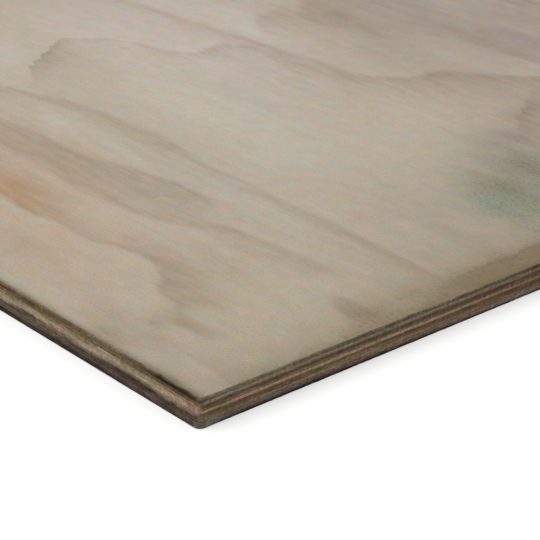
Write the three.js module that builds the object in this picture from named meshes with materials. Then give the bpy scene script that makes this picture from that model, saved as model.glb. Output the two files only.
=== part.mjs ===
// Plywood sheet: seven rotary-cut softwood veneers, glued face to face with the grain of each ply square
// to the next, pressed, and trimmed to a stock size. The sheet lies flat with its face up.
//
// Frame: millimetres, +X along the sheet's length and its face grain, +Y across it, +Z up.
// The origin is the centre of the underside.

import * as THREE from 'three';

// --- driving dimensions ---------------------------------------------------------------------------

const SHEET_LENGTH = 2440; // stock length, along X
const SHEET_WIDTH = 1220; // stock width, along Y

// The plies from the back up. Their thicknesses are multiples of 1/8 mm, so a glue line has exactly the same
// height in the ply above it and in the ply below it.
const PLIES = [
  { name: 'back_veneer', thickness: 4.125, colour: 0x5b4a44, roughness: 0.85 },
  { name: 'lower_crossband', thickness: 2, colour: 0x746456, roughness: 0.9 },
  { name: 'lower_core_ply', thickness: 2.75, colour: 0x6b5641, roughness: 0.9 },
  { name: 'centre_ply', thickness: 2, colour: 0x9a8468, roughness: 0.85 },
  { name: 'upper_core_ply', thickness: 3, colour: 0x8b7a60, roughness: 0.9 },
  { name: 'upper_crossband', thickness: 2, colour: 0x7d7565, roughness: 0.9 },
  { name: 'face_veneer', thickness: 2.125, colour: 0xb2a894, roughness: 0.75 },
];
const SHEET_THICKNESS = PLIES.reduce((sum, ply) => sum + ply.thickness, 0);

// Handling rounds the four upright corners, most of all at the underside, which is set down first.
const CORNER_RADIUS_FACE = 1.5;
const CORNER_RADIUS_BACK = 4;
const CORNER_FACETS = 8;

// The long arrises of the trimmed sheet are slightly rubbed off: a quarter round on the face and on the back.
const FACE_ARRIS = 0.5;
const BACK_ARRIS = 0.75;
const ARRIS_FACETS = 3;

// --- the trimmed sheet's outline at any height ------------------------------------------------------

// How far a rubbed arris sets the edge back, at a depth below the broad face that it belongs to.
function arrisInset(depth, radius) {
  if (depth >= radius) return 0;
  const rise = radius - depth;
  return radius - Math.sqrt(radius * radius - rise * rise);
}

// The outline at height z, as a rounded rectangle: every height gives the same number of points.
function outlineAt(z) {
  const inset = arrisInset(SHEET_THICKNESS - z, FACE_ARRIS) + arrisInset(z, BACK_ARRIS);
  const wear = 1 - z / SHEET_THICKNESS;
  const radius = THREE.MathUtils.lerp(CORNER_RADIUS_FACE, CORNER_RADIUS_BACK, wear);
  const halfLength = SHEET_LENGTH / 2 - inset;
  const halfWidth = SHEET_WIDTH / 2 - inset;

  const outline = [];
  for (let quarter = 0; quarter < 4; quarter += 1) {
    const towardX = quarter === 0 || quarter === 3 ? 1 : -1;
    const towardY = quarter < 2 ? 1 : -1;
    const corner = new THREE.EllipseCurve(
      towardX * (halfLength - radius),
      towardY * (halfWidth - radius),
      radius,
      radius,
      (quarter * Math.PI) / 2,
      ((quarter + 1) * Math.PI) / 2,
    );
    outline.push(...corner.getPoints(CORNER_FACETS));
  }
  return outline;
}

// --- one ply ----------------------------------------------------------------------------------------

// The heights at which a ply's edge changes direction: its two glue lines, and the steps of a rubbed arris.
function edgeHeights(bottom, top) {
  const steps = [];
  for (let step = 0; step <= ARRIS_FACETS; step += 1) {
    const turn = (step / ARRIS_FACETS) * (Math.PI / 2);
    steps.push(BACK_ARRIS * (1 - Math.cos(turn)));
    steps.push(SHEET_THICKNESS - FACE_ARRIS * (1 - Math.cos(turn)));
  }
  const inside = steps.filter((z) => z > bottom && z < top);
  return [bottom, ...inside.sort((a, b) => a - b), top];
}

// A ply is the loft of the sheet's outlines between its two glue lines, closed by a flat face at each end.
function plyGeometry(bottom, top) {
  const heights = edgeHeights(bottom, top);
  const outlines = heights.map(outlineAt);
  const count = outlines[0].length;
  const positions = outlines.flatMap((outline, level) => outline.flatMap((p) => [p.x, p.y, heights[level]]));

  const triangles = [];
  for (let level = 0; level < heights.length - 1; level += 1) {
    for (let i = 0; i < count; i += 1) {
      const here = level * count + i;
      const next = level * count + ((i + 1) % count);
      triangles.push(here, next, next + count);
      triangles.push(here, next + count, here + count);
    }
  }
  const lastLevel = (heights.length - 1) * count;
  for (const [a, b, c] of THREE.ShapeUtils.triangulateShape(outlines[0], [])) triangles.push(a, c, b);
  for (const [a, b, c] of THREE.ShapeUtils.triangulateShape(outlines[heights.length - 1], [])) {
    triangles.push(lastLevel + a, lastLevel + b, lastLevel + c);
  }

  const geometry = new THREE.BufferGeometry();
  geometry.setAttribute('position', new THREE.Float32BufferAttribute(positions, 3));
  geometry.setIndex(triangles);
  geometry.computeVertexNormals();
  return geometry;
}

// --- the sheet --------------------------------------------------------------------------------------

const sheet = new THREE.Group();
sheet.name = 'plywood_sheet';

let glueLine = 0;
for (const ply of PLIES) {
  const material = new THREE.MeshStandardMaterial({ color: ply.colour, roughness: ply.roughness, metalness: 0 });
  const mesh = new THREE.Mesh(plyGeometry(glueLine, glueLine + ply.thickness), material);
  mesh.name = ply.name;
  sheet.add(mesh);
  glueLine += ply.thickness;
}

export default sheet;
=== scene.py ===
# %% [markdown]
# # A sheet of softwood plywood
# Seven sheets of veneer, peeled off a log as paper comes off a roll, are glued face to face with the grain
# of each square to the next. This notebook gives the plain sheet its looks: the flame figure and the
# weather stains of its face, and the sawn edges, where the plies show as light and dark stripes. The
# sheet's construction comes from a CAD model, and everything here is fitted to it.

# %% Load the frame
import math

import bpy
import numpy as np
from mathutils import Matrix, Vector


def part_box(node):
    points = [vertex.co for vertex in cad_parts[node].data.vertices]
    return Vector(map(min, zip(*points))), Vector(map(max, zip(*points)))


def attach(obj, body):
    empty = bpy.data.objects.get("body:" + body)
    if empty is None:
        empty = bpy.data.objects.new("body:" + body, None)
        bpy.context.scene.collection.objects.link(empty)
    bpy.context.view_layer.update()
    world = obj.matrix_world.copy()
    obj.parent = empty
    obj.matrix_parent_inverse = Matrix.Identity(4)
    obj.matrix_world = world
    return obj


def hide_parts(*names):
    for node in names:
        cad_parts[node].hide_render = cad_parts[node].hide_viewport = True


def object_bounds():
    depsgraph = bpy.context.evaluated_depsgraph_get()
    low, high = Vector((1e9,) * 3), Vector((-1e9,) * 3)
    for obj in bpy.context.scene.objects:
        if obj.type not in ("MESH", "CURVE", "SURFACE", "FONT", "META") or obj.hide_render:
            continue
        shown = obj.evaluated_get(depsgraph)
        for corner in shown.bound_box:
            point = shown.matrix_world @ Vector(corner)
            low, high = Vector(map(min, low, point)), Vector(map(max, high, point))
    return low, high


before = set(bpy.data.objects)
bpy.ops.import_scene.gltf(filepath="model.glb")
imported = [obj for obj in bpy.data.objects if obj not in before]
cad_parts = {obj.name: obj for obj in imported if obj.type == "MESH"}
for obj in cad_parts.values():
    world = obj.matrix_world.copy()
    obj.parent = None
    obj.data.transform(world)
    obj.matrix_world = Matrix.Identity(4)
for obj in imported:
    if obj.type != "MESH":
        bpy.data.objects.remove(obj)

cad_low, cad_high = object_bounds()
print("sheet, m:", [round(v, 4) for v in cad_high - cad_low])

# %% [markdown]
# ## Sizes that everything else starts from
# The frame says how big the sheet is and where each glue line lies. The rest of this notebook works in
# millimetres, because a chip or a glue line is easier to judge that way, and turns them into metres once,
# when a mesh is made. On the sheet, `u` runs from the near end along the grain and `v` from the near long
# edge.

# %% Sizes
MM = 0.001
HALF_LENGTH = cad_high.x / MM
HALF_WIDTH = cad_high.y / MM
THICKNESS = cad_high.z / MM
PLY_NAMES = (
    "back_veneer",
    "lower_crossband",
    "lower_core_ply",
    "centre_ply",
    "upper_core_ply",
    "upper_crossband",
    "face_veneer",
)
ply_heights = {name: [corner.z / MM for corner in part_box(name)] for name in PLY_NAMES}
for name, (low, high) in ply_heights.items():
    print(f"{name:16s} {low:7.3f} to {high:7.3f} mm")

# %% [markdown]
# ## Camera
# The camera stands close to one corner of the sheet and looks down over it. A long lens keeps the two edges
# nearly straight bands, and a slight roll of the camera sets the left edge steeper than the right one.

# %% Camera
CAMERA_YAW = math.radians(44.904)  # from +Y towards -X
CAMERA_PITCH = math.radians(25.302)  # below the horizon
CAMERA_ROLL = math.radians(3.80)
CAMERA_FROM_CORNER = Vector((604.3, -563.4, 464.3)) * MM
SENSOR_WIDTH = 36.0
FOCAL_LENGTH = 126.5


def make_camera(corner):
    """A camera whose three axes are worked out from yaw, pitch and roll: forward first, then right and up,
    and those two turned about forward by the roll."""
    level = math.cos(CAMERA_PITCH)
    forward = Vector((-math.sin(CAMERA_YAW) * level, math.cos(CAMERA_YAW) * level, -math.sin(CAMERA_PITCH)))
    level_right = forward.cross(Vector((0, 0, 1))).normalized()
    level_up = level_right.cross(forward)
    right = math.cos(CAMERA_ROLL) * level_right + math.sin(CAMERA_ROLL) * level_up
    up = math.cos(CAMERA_ROLL) * level_up - math.sin(CAMERA_ROLL) * level_right
    data = bpy.data.cameras.new("camera")
    data.sensor_width = SENSOR_WIDTH
    data.lens = FOCAL_LENGTH
    camera = bpy.data.objects.new("camera", data)
    turned = Matrix((right, up, -forward)).transposed().to_4x4()
    camera.matrix_world = Matrix.Translation(corner + CAMERA_FROM_CORNER) @ turned
    bpy.context.collection.objects.link(camera)
    return camera


near_corner = Vector((cad_high.x, cad_low.y, cad_high.z))
bpy.context.scene.camera = make_camera(near_corner)
print("camera to near corner, m:", round(CAMERA_FROM_CORNER.length, 3))

# %% [markdown]
# ## Arrays of smooth noise
# Wood never repeats. Every irregular thing below, such as the drift of a growth ring or the bite of a saw,
# is a sum of lattice noise: random numbers on a square grid, with a smooth blend between the four that
# surround a point. Each use has its own seed, so the sheet comes out the same on every run. A noise that
# runs along one line only, such as the rim, stays in one row of its grid: its second coordinate is a plain
# number.

# %% Noise helpers
LATTICE = 256
MID_ROW = 0.5


def lattice_noise(x, y, seed):
    """Values from -1 to 1. The random numbers at the corners of a point's cell are blended with the weight
    3t^2 - 2t^3 along each side, so neither the value nor its slope jumps from cell to cell."""
    table = np.random.default_rng(seed).uniform(-1, 1, (LATTICE, LATTICE))
    column, row = np.floor(x).astype(int), np.floor(y).astype(int)
    tx, ty = x - column, y - row
    tx, ty = tx * tx * (3 - 2 * tx), ty * ty * (3 - 2 * ty)
    left, right = column % LATTICE, (column + 1) % LATTICE
    low, high = row % LATTICE, (row + 1) % LATTICE
    below = table[low, left] * (1 - tx) + table[low, right] * tx
    above = table[high, left] * (1 - tx) + table[high, right] * tx
    return below * (1 - ty) + above * ty


def layered_noise(x, y, seed, layers=3):
    """Octaves of lattice noise: each layer is twice as fine as the last and half as strong."""
    total = sum(lattice_noise(x * 2**k, y * 2**k, seed + k) / 2**k for k in range(layers))
    return total / (2 - 2 ** (1 - layers))


def smooth_step(low, high, value):
    """0 below low, 1 above high, and 3t^2 - 2t^3 in between."""
    t = np.clip((value - low) / (high - low), 0, 1)
    return t * t * (3 - 2 * t)


print("noise at three places:", layered_noise(np.array([0.3, 1.7, 2.9]), MID_ROW, 1).round(2))


# %% [markdown]
# ## The figure of the face veneer
# A rotary knife slices nearly along the growth rings, so a ring that would be a fine line on a sawn board
# spreads into broad flames here. Each ring ends in dark latewood. On one side the latewood stops at a line,
# and on the other it thins out into the pale wood of the same year. Near the corner these lines are listed
# one by one. Each is a row of points in `u` and `v`, and the latewood lies to the left for someone who walks
# along the row on the sheet. A point also says how strong the latewood is there, how many mm it takes to
# fade, how soft the line is in mm, and how warm: grey at 0, brown in the middle and resin orange at 1.
# Below 0 it is the dark rim that water leaves where it dries. Each layer is simple, because lines that come
# close to each other are kept in separate layers, and a short line goes wherever there is room.

# %% Latewood lines
# each point: u, v, strength, fade, softness, warmth
LAYERS = {
    "tip": (
        ((372, 400, 0.1, 9, 6, 0.5), (388, 392, 0.25, 8, 5, 0.4), (400, 381, 0.4, 10, 7, 0.3),
         (403, 370, 0.42, 10, 7, 0.2), (399, 355, 0.42, 10, 7, 0.2), (402, 344, 0.38, 9, 7, 0.2),
         (418, 334, 0.3, 8, 6, 0.2), (440, 326, 0.3, 8, 5, 0.2), (460, 315, 0.34, 8, 4, 0.2),
         (472, 300, 0.34, 8, 5, 0.2), (479, 287, 0.4, 9, 4, 0.25), (476, 278, 0.54, 10, 3, 0.25),
         (469, 271, 0.5, 9, 3, 0.2), (468, 265, 0.66, 10, 2.5, 0.15), (461, 258, 0.58, 9, 2.5, 0.15),
         (460, 252, 0.72, 11, 2.5, 0.1), (453, 245, 0.6, 10, 2.5, 0.15), (451, 239, 0.72, 11, 2.5, 0.15),
         (446, 233, 0.6, 10, 2.5, 0.2), (443, 227, 0.64, 10, 3, 0.2), (435, 222, 0.48, 10, 4, 0.3),
         (426, 217, 0.34, 9, 5, 0.35), (414, 208, 0.1, 8, 5, 0.4)),
        ((560, 590, 0.2, 30, 12, 0.5), (500, 548, 0.35, 30, 12, 0.5), (458, 514, 0.5, 28, 12, 0.5),
         (446, 506, 0.56, 26, 12, 0.5), (434, 494, 0.6, 24, 13, 0.5), (421, 483, 0.6, 22, 14, 0.45),
         (404, 477, 0.54, 22, 15, 0.4), (386, 480, 0.42, 22, 16, 0.4), (370, 492, 0.28, 20, 18, 0.4),
         (355, 508, 0.22, 18, 16, 0.4), (338, 524, 0.26, 15, 14, 0.4), (318, 537, 0.36, 13, 11, 0.45),
         (290, 546, 0.42, 12, 9, 0.5), (252, 549, 0.42, 11, 7, 0.6), (220, 556, 0, 11, 8, 0.5)),
        ((62, 29, 0, 3, 5, 0.3), (45, 27, 0.3, 3, 4, 0.3), (25, 26, 0.42, 3, 4, 0.35),
         (5, 24, 0.45, 3, 4, 0.4), (-20, 23, 0.4, 3, 4, 0.4)),
    ),
    "crown": (
        ((150, 562, 0, 26, 9, 0.4), (190, 546, 0.5, 26, 8, 0.3), (215, 528, 0.75, 22, 8, 0.3),
         (226, 515, 0.8, 19, 9, 0.35), (236, 503, 0.76, 17, 11, 0.4), (247, 493, 0.74, 18, 12, 0.45),
         (259, 482, 0.8, 19, 12, 0.5), (267, 469, 0.84, 20, 12, 0.55), (266, 454, 0.78, 20, 12, 0.5),
         (270, 441, 0.62, 17, 10, 0.5), (280, 430, 0.54, 17, 11, 0.5), (293, 419, 0.54, 22, 12, 0.5),
         (310, 416, 0.54, 24, 13, 0.5), (340, 412, 0.5, 24, 13, 0.5), (370, 407, 0.46, 18, 13, 0.5),
         (400, 403, 0.42, 12, 12, 0.5), (440, 399, 0.4, 10, 11, 0.5), (470, 396, 0.44, 9, 10, 0.55),
         (500, 392, 0.48, 9, 10, 0.6), (530, 386, 0.44, 9, 10, 0.6), (575, 380, 0.4, 9, 10, 0.6),
         (640, 376, 0, 9, 10, 0.6)),
    ),
    "long line": (
        ((-20, 203, 0.6, 5, 6, 0.4), (30, 205, 0.66, 6, 6, 0.4), (60, 208, 0.72, 6, 6, 0.4),
         (90, 209, 0.7, 6, 7, 0.4), (120, 208, 0.56, 7, 8, 0.35), (150, 208, 0.44, 7, 8, 0.3),
         (180, 208, 0.42, 6, 8, 0.3), (200, 209, 0.42, 6, 8, 0.35), (225, 208, 0.42, 7, 9, 0.4),
         (250, 212, 0.48, 8, 9, 0.4), (270, 216, 0.56, 9, 10, 0.45), (290, 217, 0.58, 9, 10, 0.5),
         (320, 214, 0.53, 10, 11, 0.5), (350, 211, 0.5, 10, 11, 0.5), (375, 206, 0.54, 11, 9, 0.6),
         (395, 196, 0.52, 13, 8, 0.6), (420, 188, 0.6, 16, 8, 0.6), (450, 176, 0.62, 18, 8, 0.6),
         (520, 160, 0.2, 18, 8, 0.65)),
        ((345, 557, 0, 7, 6, 0.5), (320, 552, 0.35, 7, 6, 0.5), (280, 551, 0.4, 7, 6, 0.5),
         (240, 553, 0.4, 7, 6, 0.5), (200, 560, 0, 7, 6, 0.5)),
        ((450, 486, 0, 16, 13, 0.5), (444, 476, 0.3, 17, 13, 0.5), (440, 466, 0.46, 18, 12, 0.5),
         (436, 453, 0.46, 16, 12, 0.5), (430, 442, 0.44, 13, 12, 0.5), (420, 433, 0.38, 12, 13, 0.5),
         (406, 427, 0.28, 12, 14, 0.5), (385, 424, 0, 12, 14, 0.5)),
    ),
    "lens": (
        ((182, 157, 0.15, 14, 8, 0.4), (170, 161, 0.28, 14, 8, 0.4), (163, 163, 0.36, 16, 7, 0.4),
         (172, 166, 0.42, 18, 8, 0.4), (188, 171, 0.46, 19, 8, 0.4), (208, 174, 0.48, 20, 8, 0.4),
         (235, 169, 0.46, 19, 8, 0.45), (262, 161, 0.46, 18, 8, 0.5), (280, 154, 0.44, 17, 8, 0.5),
         (300, 153, 0.42, 17, 8, 0.5), (350, 152, 0.42, 16, 8, 0.5), (385, 146, 0.42, 16, 8, 0.55),
         (440, 132, 0, 18, 8, 0.6)),
        ((52, 160, 0, 7, 6, 0.4), (70, 162, 0.52, 8, 7, 0.4), (95, 160, 0.56, 10, 8, 0.4),
         (120, 158, 0.54, 11, 8, 0.4), (148, 153, 0.46, 10, 8, 0.4), (166, 147, 0.1, 9, 8, 0.4)),
        ((-20, 150, 0.66, 9, 6, 0.25), (8, 149, 0.6, 9, 7, 0.3), (24, 146, 0.5, 9, 8, 0.4),
         (36, 141, 0.34, 9, 8, 0.45), (44, 136, 0.16, 8, 8, 0.45), (34, 131, 0.44, 7, 7, 0.45),
         (20, 125, 0.66, 7, 6, 0.45), (-20, 116, 0.76, 8, 6, 0.4)),
    ),
    "soak": (  # the dark rim where water was drawn in at the end, and the lower line of the lens
        ((24, 1260, 0.45, 5, 2.5, -0.8), (19, 900, 0.5, 5, 2.5, -0.8), (23, 620, 0.5, 5, 2.5, -0.8),
         (20, 400, 0.54, 2.6, 2.5, -0.9), (18, 310, 0.56, 2.6, 2.5, -1), (16.5, 288, 0.56, 2.6, 2.5, -1),
         (20.5, 277, 0.56, 2.6, 2.5, -1), (17, 263, 0.54, 2.6, 2.5, -1), (20, 252, 0.54, 2.6, 2.5, -1),
         (17.5, 236, 0.52, 2.6, 2.5, -0.9), (20, 214, 0.48, 3, 3, -0.7), (14, 200, 0.38, 8, 7, 0.1),
         (4, 188, 0.4, 14, 9, 0.3), (-12, 176, 0.4, 20, 9, 0.2), (-30, 170, 0.4, 20, 9, 0.2)),
        ((440, 110, 0, 12, 9, 0.7), (370, 116, 0.36, 12, 9, 0.65), (330, 120, 0.4, 12, 9, 0.6),
         (300, 122, 0.44, 12, 9, 0.55), (280, 120, 0.42, 12, 9, 0.5), (240, 117, 0.42, 13, 10, 0.45),
         (205, 119, 0.46, 13, 10, 0.4), (185, 124, 0.48, 13, 9, 0.3), (170, 130, 0.44, 12, 9, 0.3),
         (158, 137, 0.34, 10, 8, 0.4), (151, 143, 0.1, 10, 8, 0.4)),
    ),
    "sweep": (
        ((440, 62, 0.3, 16, 8, 0.8), (340, 74, 0.6, 20, 8, 0.85), (300, 72, 0.8, 20, 7, 0.9),
         (262, 71, 0.86, 17, 7, 0.9), (235, 71, 0.74, 12, 7, 0.8), (210, 73, 0.58, 8, 7, 0.6),
         (185, 75, 0.54, 8, 8, 0.45), (170, 80, 0.56, 8, 8, 0.4), (155, 86, 0.66, 8, 8, 0.35),
         (140, 86, 0.72, 8, 7, 0.3), (128, 82, 0.72, 9, 7, 0.3), (118, 75, 0.7, 9, 7, 0.3),
         (111, 67, 0.7, 9, 7, 0.3), (104, 62, 0.62, 8, 7, 0.3), (96, 61, 0.6, 7, 7, 0.3),
         (88, 59, 0.58, 7, 7, 0.3), (80, 54, 0.66, 7, 7, 0.3), (72, 48, 0.74, 6, 6, 0.35),
         (64, 46, 0.62, 6, 6, 0.4), (54, 47, 0.36, 5, 6, 0.4), (38, 48, 0.14, 5, 7, 0.4),
         (20, 47, 0, 5, 7, 0.4)),
        ((72, 46, 0, 7, 5, 0.4), (80, 45, 0.26, 7, 5, 0.35), (87, 41, 0.44, 7, 5, 0.35),
         (80, 36, 0.4, 7, 6, 0.35), (68, 29, 0.28, 8, 7, 0.4), (54, 20, 0, 9, 7, 0.4)),
        ((205, 510, 0, 14, 7, 0.3), (188, 484, 0.5, 14, 5, 0.25), (177, 466, 0.75, 13, 4, 0.2),
         (170, 450, 0.75, 12, 4, 0.2), (158, 437, 0.55, 12, 5, 0.2), (148, 424, 0.3, 12, 6, 0.2),
         (138, 408, 0, 12, 6, 0.2)),
    ),
}
print("latewood lines laid by hand:", sum(len(lines) for lines in LAYERS.values()))

# %% [markdown]
# A line is rounded with a Catmull-Rom curve, which passes through every given point. Each vertex of the
# sheet then keeps, for each layer, its distance to the nearest line, positive on the dark side, and what
# that line says there. The slope says how fast the distance grows along the grain: nearly nothing beside a
# flame, and 1 at its tip. Later the shader shifts the line along the grain by a fine noise times that
# slope, which leaves the sides smooth and makes the tips ragged, just as the fibres do.

# %% Distance to the lines
TAKEOVER = 14  # mm by which a line has to be nearer than the next one to have its full strength


def smooth_line(points, steps=5):
    """A Catmull-Rom curve through the points: between two of them it is the cubic whose tangents run parallel
    to the lines that join their neighbours. The other columns are rounded in the same way."""
    p = np.array(points, float)
    start, end = 2 * p[0] - p[1], 2 * p[-1] - p[-2]
    p = np.concatenate([[start], p, [end]])
    before, here, after, beyond = p[:-3], p[1:-2], p[2:-1], p[3:]
    t = np.linspace(0, 1, steps, endpoint=False)[:, None, None]
    square = (2 * before - 5 * here + 4 * after - beyond) * t**2
    cube = (3 * here - before - 3 * after + beyond) * t**3
    curve = 0.5 * (2 * here + (after - before) * t + square + cube)
    curve = curve.transpose(1, 0, 2).reshape(-1, p.shape[1])
    return np.concatenate([curve, p[-2:-1]])


def nearest_point(u, v, points):
    """Distance in mm to one line, its side and slope, and the line's strength, fade, softness and warmth
    there. The nearest of its short segments decides."""
    nearest = np.full(u.shape, np.inf)
    found = np.zeros((6, *u.shape))
    curve = smooth_line(points)
    for a, b in zip(curve[:-1], curve[1:]):
        du, dv = b[:2] - a[:2]
        t = np.clip(((u - a[0]) * du + (v - a[1]) * dv) / (du * du + dv * dv), 0, 1)
        off_u, off_v = u - a[0] - t * du, v - a[1] - t * dv
        distance = np.hypot(off_u, off_v)
        side = np.where(off_u * dv - off_v * du > 0, 1.0, -1.0)
        closer = distance < nearest
        nearest = np.where(closer, distance, nearest)
        slope = -side * off_u / np.maximum(distance, 1e-6)
        looks = a[2:, None] + t * (b - a)[2:, None]
        found = np.where(closer, np.stack([side * distance, slope, *looks]), found)
    return nearest, found


def nearest_line(u, v, lines):
    """The same for the nearest of several lines. Half way between two lines the strength falls to nothing, so
    that no seam shows where one takes over from the other."""
    nearest, second = np.full((2, *u.shape), np.inf)
    found = np.zeros((6, *u.shape))
    for points in lines:
        distance, row = nearest_point(u, v, points)
        closer = distance < nearest
        second = np.where(closer, nearest, np.minimum(second, distance))
        nearest = np.where(closer, distance, nearest)
        found = np.where(closer, row, found)
    found[2] *= smooth_step(0, TAKEOVER, second - nearest)
    return found


first_line = LAYERS["tip"][0]
print("points of the first line, before and after rounding:", len(first_line), len(smooth_line(first_line)))


# %% [markdown]
# The rest of the sheet is too large to draw by hand, so its rings follow from the shape of a log. The knife
# peels a circle of radius `LOG_RADIUS`, but the rings are centred a little off it, taper towards the crown
# and swell here and there. The height of the rings above the knife's path, divided by the width of a ring,
# gives the age in years, and each whole number is an outline. Lengths are in mm.

# %% Rings of the log
LOG_RADIUS = 170.0
RING_WIDTH = 8.5
RING_TAPER = 0.0045  # mm per mm along the log
PITH_OFFSET = 9.0
PITH_DRIFT = (2.5, 1300)  # radians by which the pith wanders around the log, and over what length
OFFSET_DRIFT = (0.4, 800)  # how much its offset changes, and over what length
SWELLING = (5.0, 520, 130)  # height, length and width
FILLED = (1040, 290, 110, 40, 0.8)  # x, y, reach along and across, height
FACE_SEED = 300
BACK_SEED = 400


def ring_age(x, y, seed):
    """The pith's offset times the cosine of the angle around the log, plus taper along it, plus swellings
    that are a few times longer than they are wide, all divided by the width of a ring. One low swelling is
    placed at a given spot, where the rings would else leave a sliver."""
    drift = PITH_DRIFT[0] * lattice_noise(x / PITH_DRIFT[1], MID_ROW, seed)
    offset = PITH_OFFSET * (1 + OFFSET_DRIFT[0] * lattice_noise(x / OFFSET_DRIFT[1], 4 + MID_ROW, seed + 1))
    height = offset * np.cos(y / LOG_RADIUS + drift) + RING_TAPER * x
    swelling, length, width = SWELLING
    height += swelling * layered_noise(x / length, y / width, seed + 2)
    fx, fy, reach_x, reach_y, more = FILLED
    height += more * np.exp(-(((x - fx) / reach_x) ** 2) - ((y - fy) / reach_y) ** 2)
    return height / RING_WIDTH


def ring_line(x, y, seed):
    """The age, its slope per mm along the grain, and the latewood's strength there."""
    slope = (ring_age(x + 1, y, seed) - ring_age(x - 1, y, seed)) / 2
    strength = 0.52 + 0.3 * layered_noise(x / 260, y / 70, seed + 5, 2)
    return np.stack([ring_age(x, y, seed), slope, strength])


def ring_look(x, y, seed):
    """How far the latewood fades, how soft its line is and how warm it looks, each drifting by itself."""
    fade = 15 + 8 * lattice_noise(x / 300, y / 90, seed + 6)
    softness = 4 + 2.5 * lattice_noise(x / 180, y / 60, seed + 7)
    warmth = 0.55 + 0.35 * lattice_noise(x / 350, y / 120, seed + 8)
    return np.stack([fade, softness, warmth])


ages = ring_age(0.0, np.linspace(-HALF_WIDTH, HALF_WIDTH, 200), FACE_SEED)
print("years of growth across the middle of the face:", round(float(np.ptp(ages)), 1))


# %% [markdown]
# ## Stains
# A sheet that has stood around a yard picks up damp, algae and tannin. Each patch below pulls the wood's
# own colour towards a stain, most at its middle. Colours are written as they look on a screen, from 0 to
# 255, and turned into the linear values that Blender mixes.

# %% Patches of colour on the face
WOOD = (177, 165, 147)
# u, v, reach along u, reach along v, colour, amount
STAINS = (
    (430, 355, 150, 80, (190, 178, 170), 0.8),  # silvery, sanded thin
    (490, 225, 50, 26, (190, 183, 176), 0.7),
    (300, 275, 150, 55, (186, 179, 164), 0.9),  # greenish cream inside the big flame
    (415, 255, 50, 34, (178, 167, 148), 0.5),
    (310, 180, 90, 16, (188, 184, 170), 0.8),  # pale, between the long line and the lens
    (150, 190, 70, 12, (182, 177, 162), 0.5),
    (213, 196, 46, 22, (187, 182, 168), 0.5),
    (360, 610, 300, 110, (160, 147, 137), 0.9),  # tan, away from the corner
    (265, 582, 44, 26, (140, 135, 127), 0.6),
    (300, 640, 44, 22, (150, 132, 116), 0.5),
    (345, 668, 14, 14, (138, 124, 110), 0.6),
    (330, 480, 80, 46, (160, 147, 134), 0.65),
    (235, 475, 90, 40, (164, 150, 136), 0.6),
    (340, 560, 60, 22, (148, 134, 118), 0.5),
    (395, 545, 50, 40, (152, 138, 126), 0.6),
    (430, 425, 50, 14, (196, 189, 180), 0.6),
    (462, 444, 30, 14, (190, 182, 176), 0.5),
    (190, 42, 80, 30, (168, 146, 126), 0.7),  # warm and dull, below the low sweep
    (120, 91, 18, 6, (158, 143, 122), 0.7),  # the smudge at the end of the low sweep
    (104, 80, 15, 8, (154, 137, 112), 0.8),
    (88, 73, 14, 6, (154, 138, 108), 0.8),
    (77, 78, 9, 5, (148, 132, 98), 0.75),
    (68, 50, 9, 4, (138, 124, 94), 0.85),
    (56, 51, 8, 3, (142, 131, 116), 0.7),
    (79, 38, 9, 5, (148, 134, 110), 0.7),
    (62, 24, 20, 6, (158, 144, 124), 0.5),
    (10, 160, 20, 52, (150, 138, 100), 0.5),
    (8, 250, 18, 60, (134, 116, 84), 0.6),
    (30, 1, 26, 3.5, (112, 98, 74), 0.7),
    (90, 22, 26, 10, (154, 139, 119), 0.7),
    (74, 50, 16, 7, (150, 134, 110), 0.4),
    (60, 14, 26, 7, (156, 143, 124), 0.4),
    (100, 100, 40, 14, (166, 152, 128), 0.4),
    (84, 9, 16, 6, (144, 130, 98), 0.7),
    (24, 136, 16, 8, (126, 108, 90), 0.5),
    (408, 508, 18, 10, (130, 110, 97), 0.5),
    (362, 499, 34, 12, (142, 122, 106), 0.45),
    (60, 90, 60, 34, (170, 160, 138), 0.5),
    (110, 116, 26, 5, (164, 148, 118), 0.5),
    (30, 180, 60, 30, (162, 154, 134), 0.5),
    (70, 262, 90, 44, (162, 148, 132), 0.7),
    (45, 235, 40, 40, (160, 151, 131), 0.6),
    (270, 91, 27, 9, (164, 129, 92), 0.65),  # resin
    (226, 82, 18, 5, (150, 118, 90), 0.45),
    (240, 92, 70, 18, (178, 156, 130), 0.5),
    (285, 113, 52, 7, (190, 174, 162), 0.7),
    (218, 149, 58, 14, (164, 151, 139), 0.6),  # the lens
    (300, 136, 60, 11, (168, 152, 141), 0.5),
    (40, 345, 80, 60, (138, 135, 117), 0.85),  # damp and algae along the far part of the end
    (92, 392, 60, 46, (134, 130, 114), 0.85),
    (128, 440, 44, 34, (146, 128, 114), 0.7),
    (138, 388, 26, 20, (138, 134, 124), 0.5),
    (100, 377, 22, 14, (114, 114, 94), 0.55),
    (76, 314, 25, 18, (123, 139, 122), 0.55),
    (104, 334, 18, 13, (134, 130, 112), 0.55),
    (90, 340, 20, 10, (120, 122, 98), 0.6),
    (146, 416, 14, 14, (138, 124, 117), 0.6),  # damp, drying brown
    (172, 464, 10, 24, (144, 122, 114), 0.5),
)
print("stains laid by hand:", len(STAINS))

# %% [markdown]
# A stain has no outline. A Gaussian has none either, but by itself it looks like an airbrush, so a noise
# frays each stain along the grain, which water follows more easily, and another makes it blotchy.

# %% Mixing stains into the wood
def linear(colour):
    """The standard screen curve undone: a power of 2.4, with a straight part near black."""
    c = np.asarray(colour, float) / 255
    return np.where(c < 0.04045, c / 12.92, ((c + 0.055) / 1.055) ** 2.4)


def pulled(colour, stain, share):
    """The colour moved towards the stain by a share of the way."""
    return colour + share[..., None] * (linear(stain) - colour)


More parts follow.
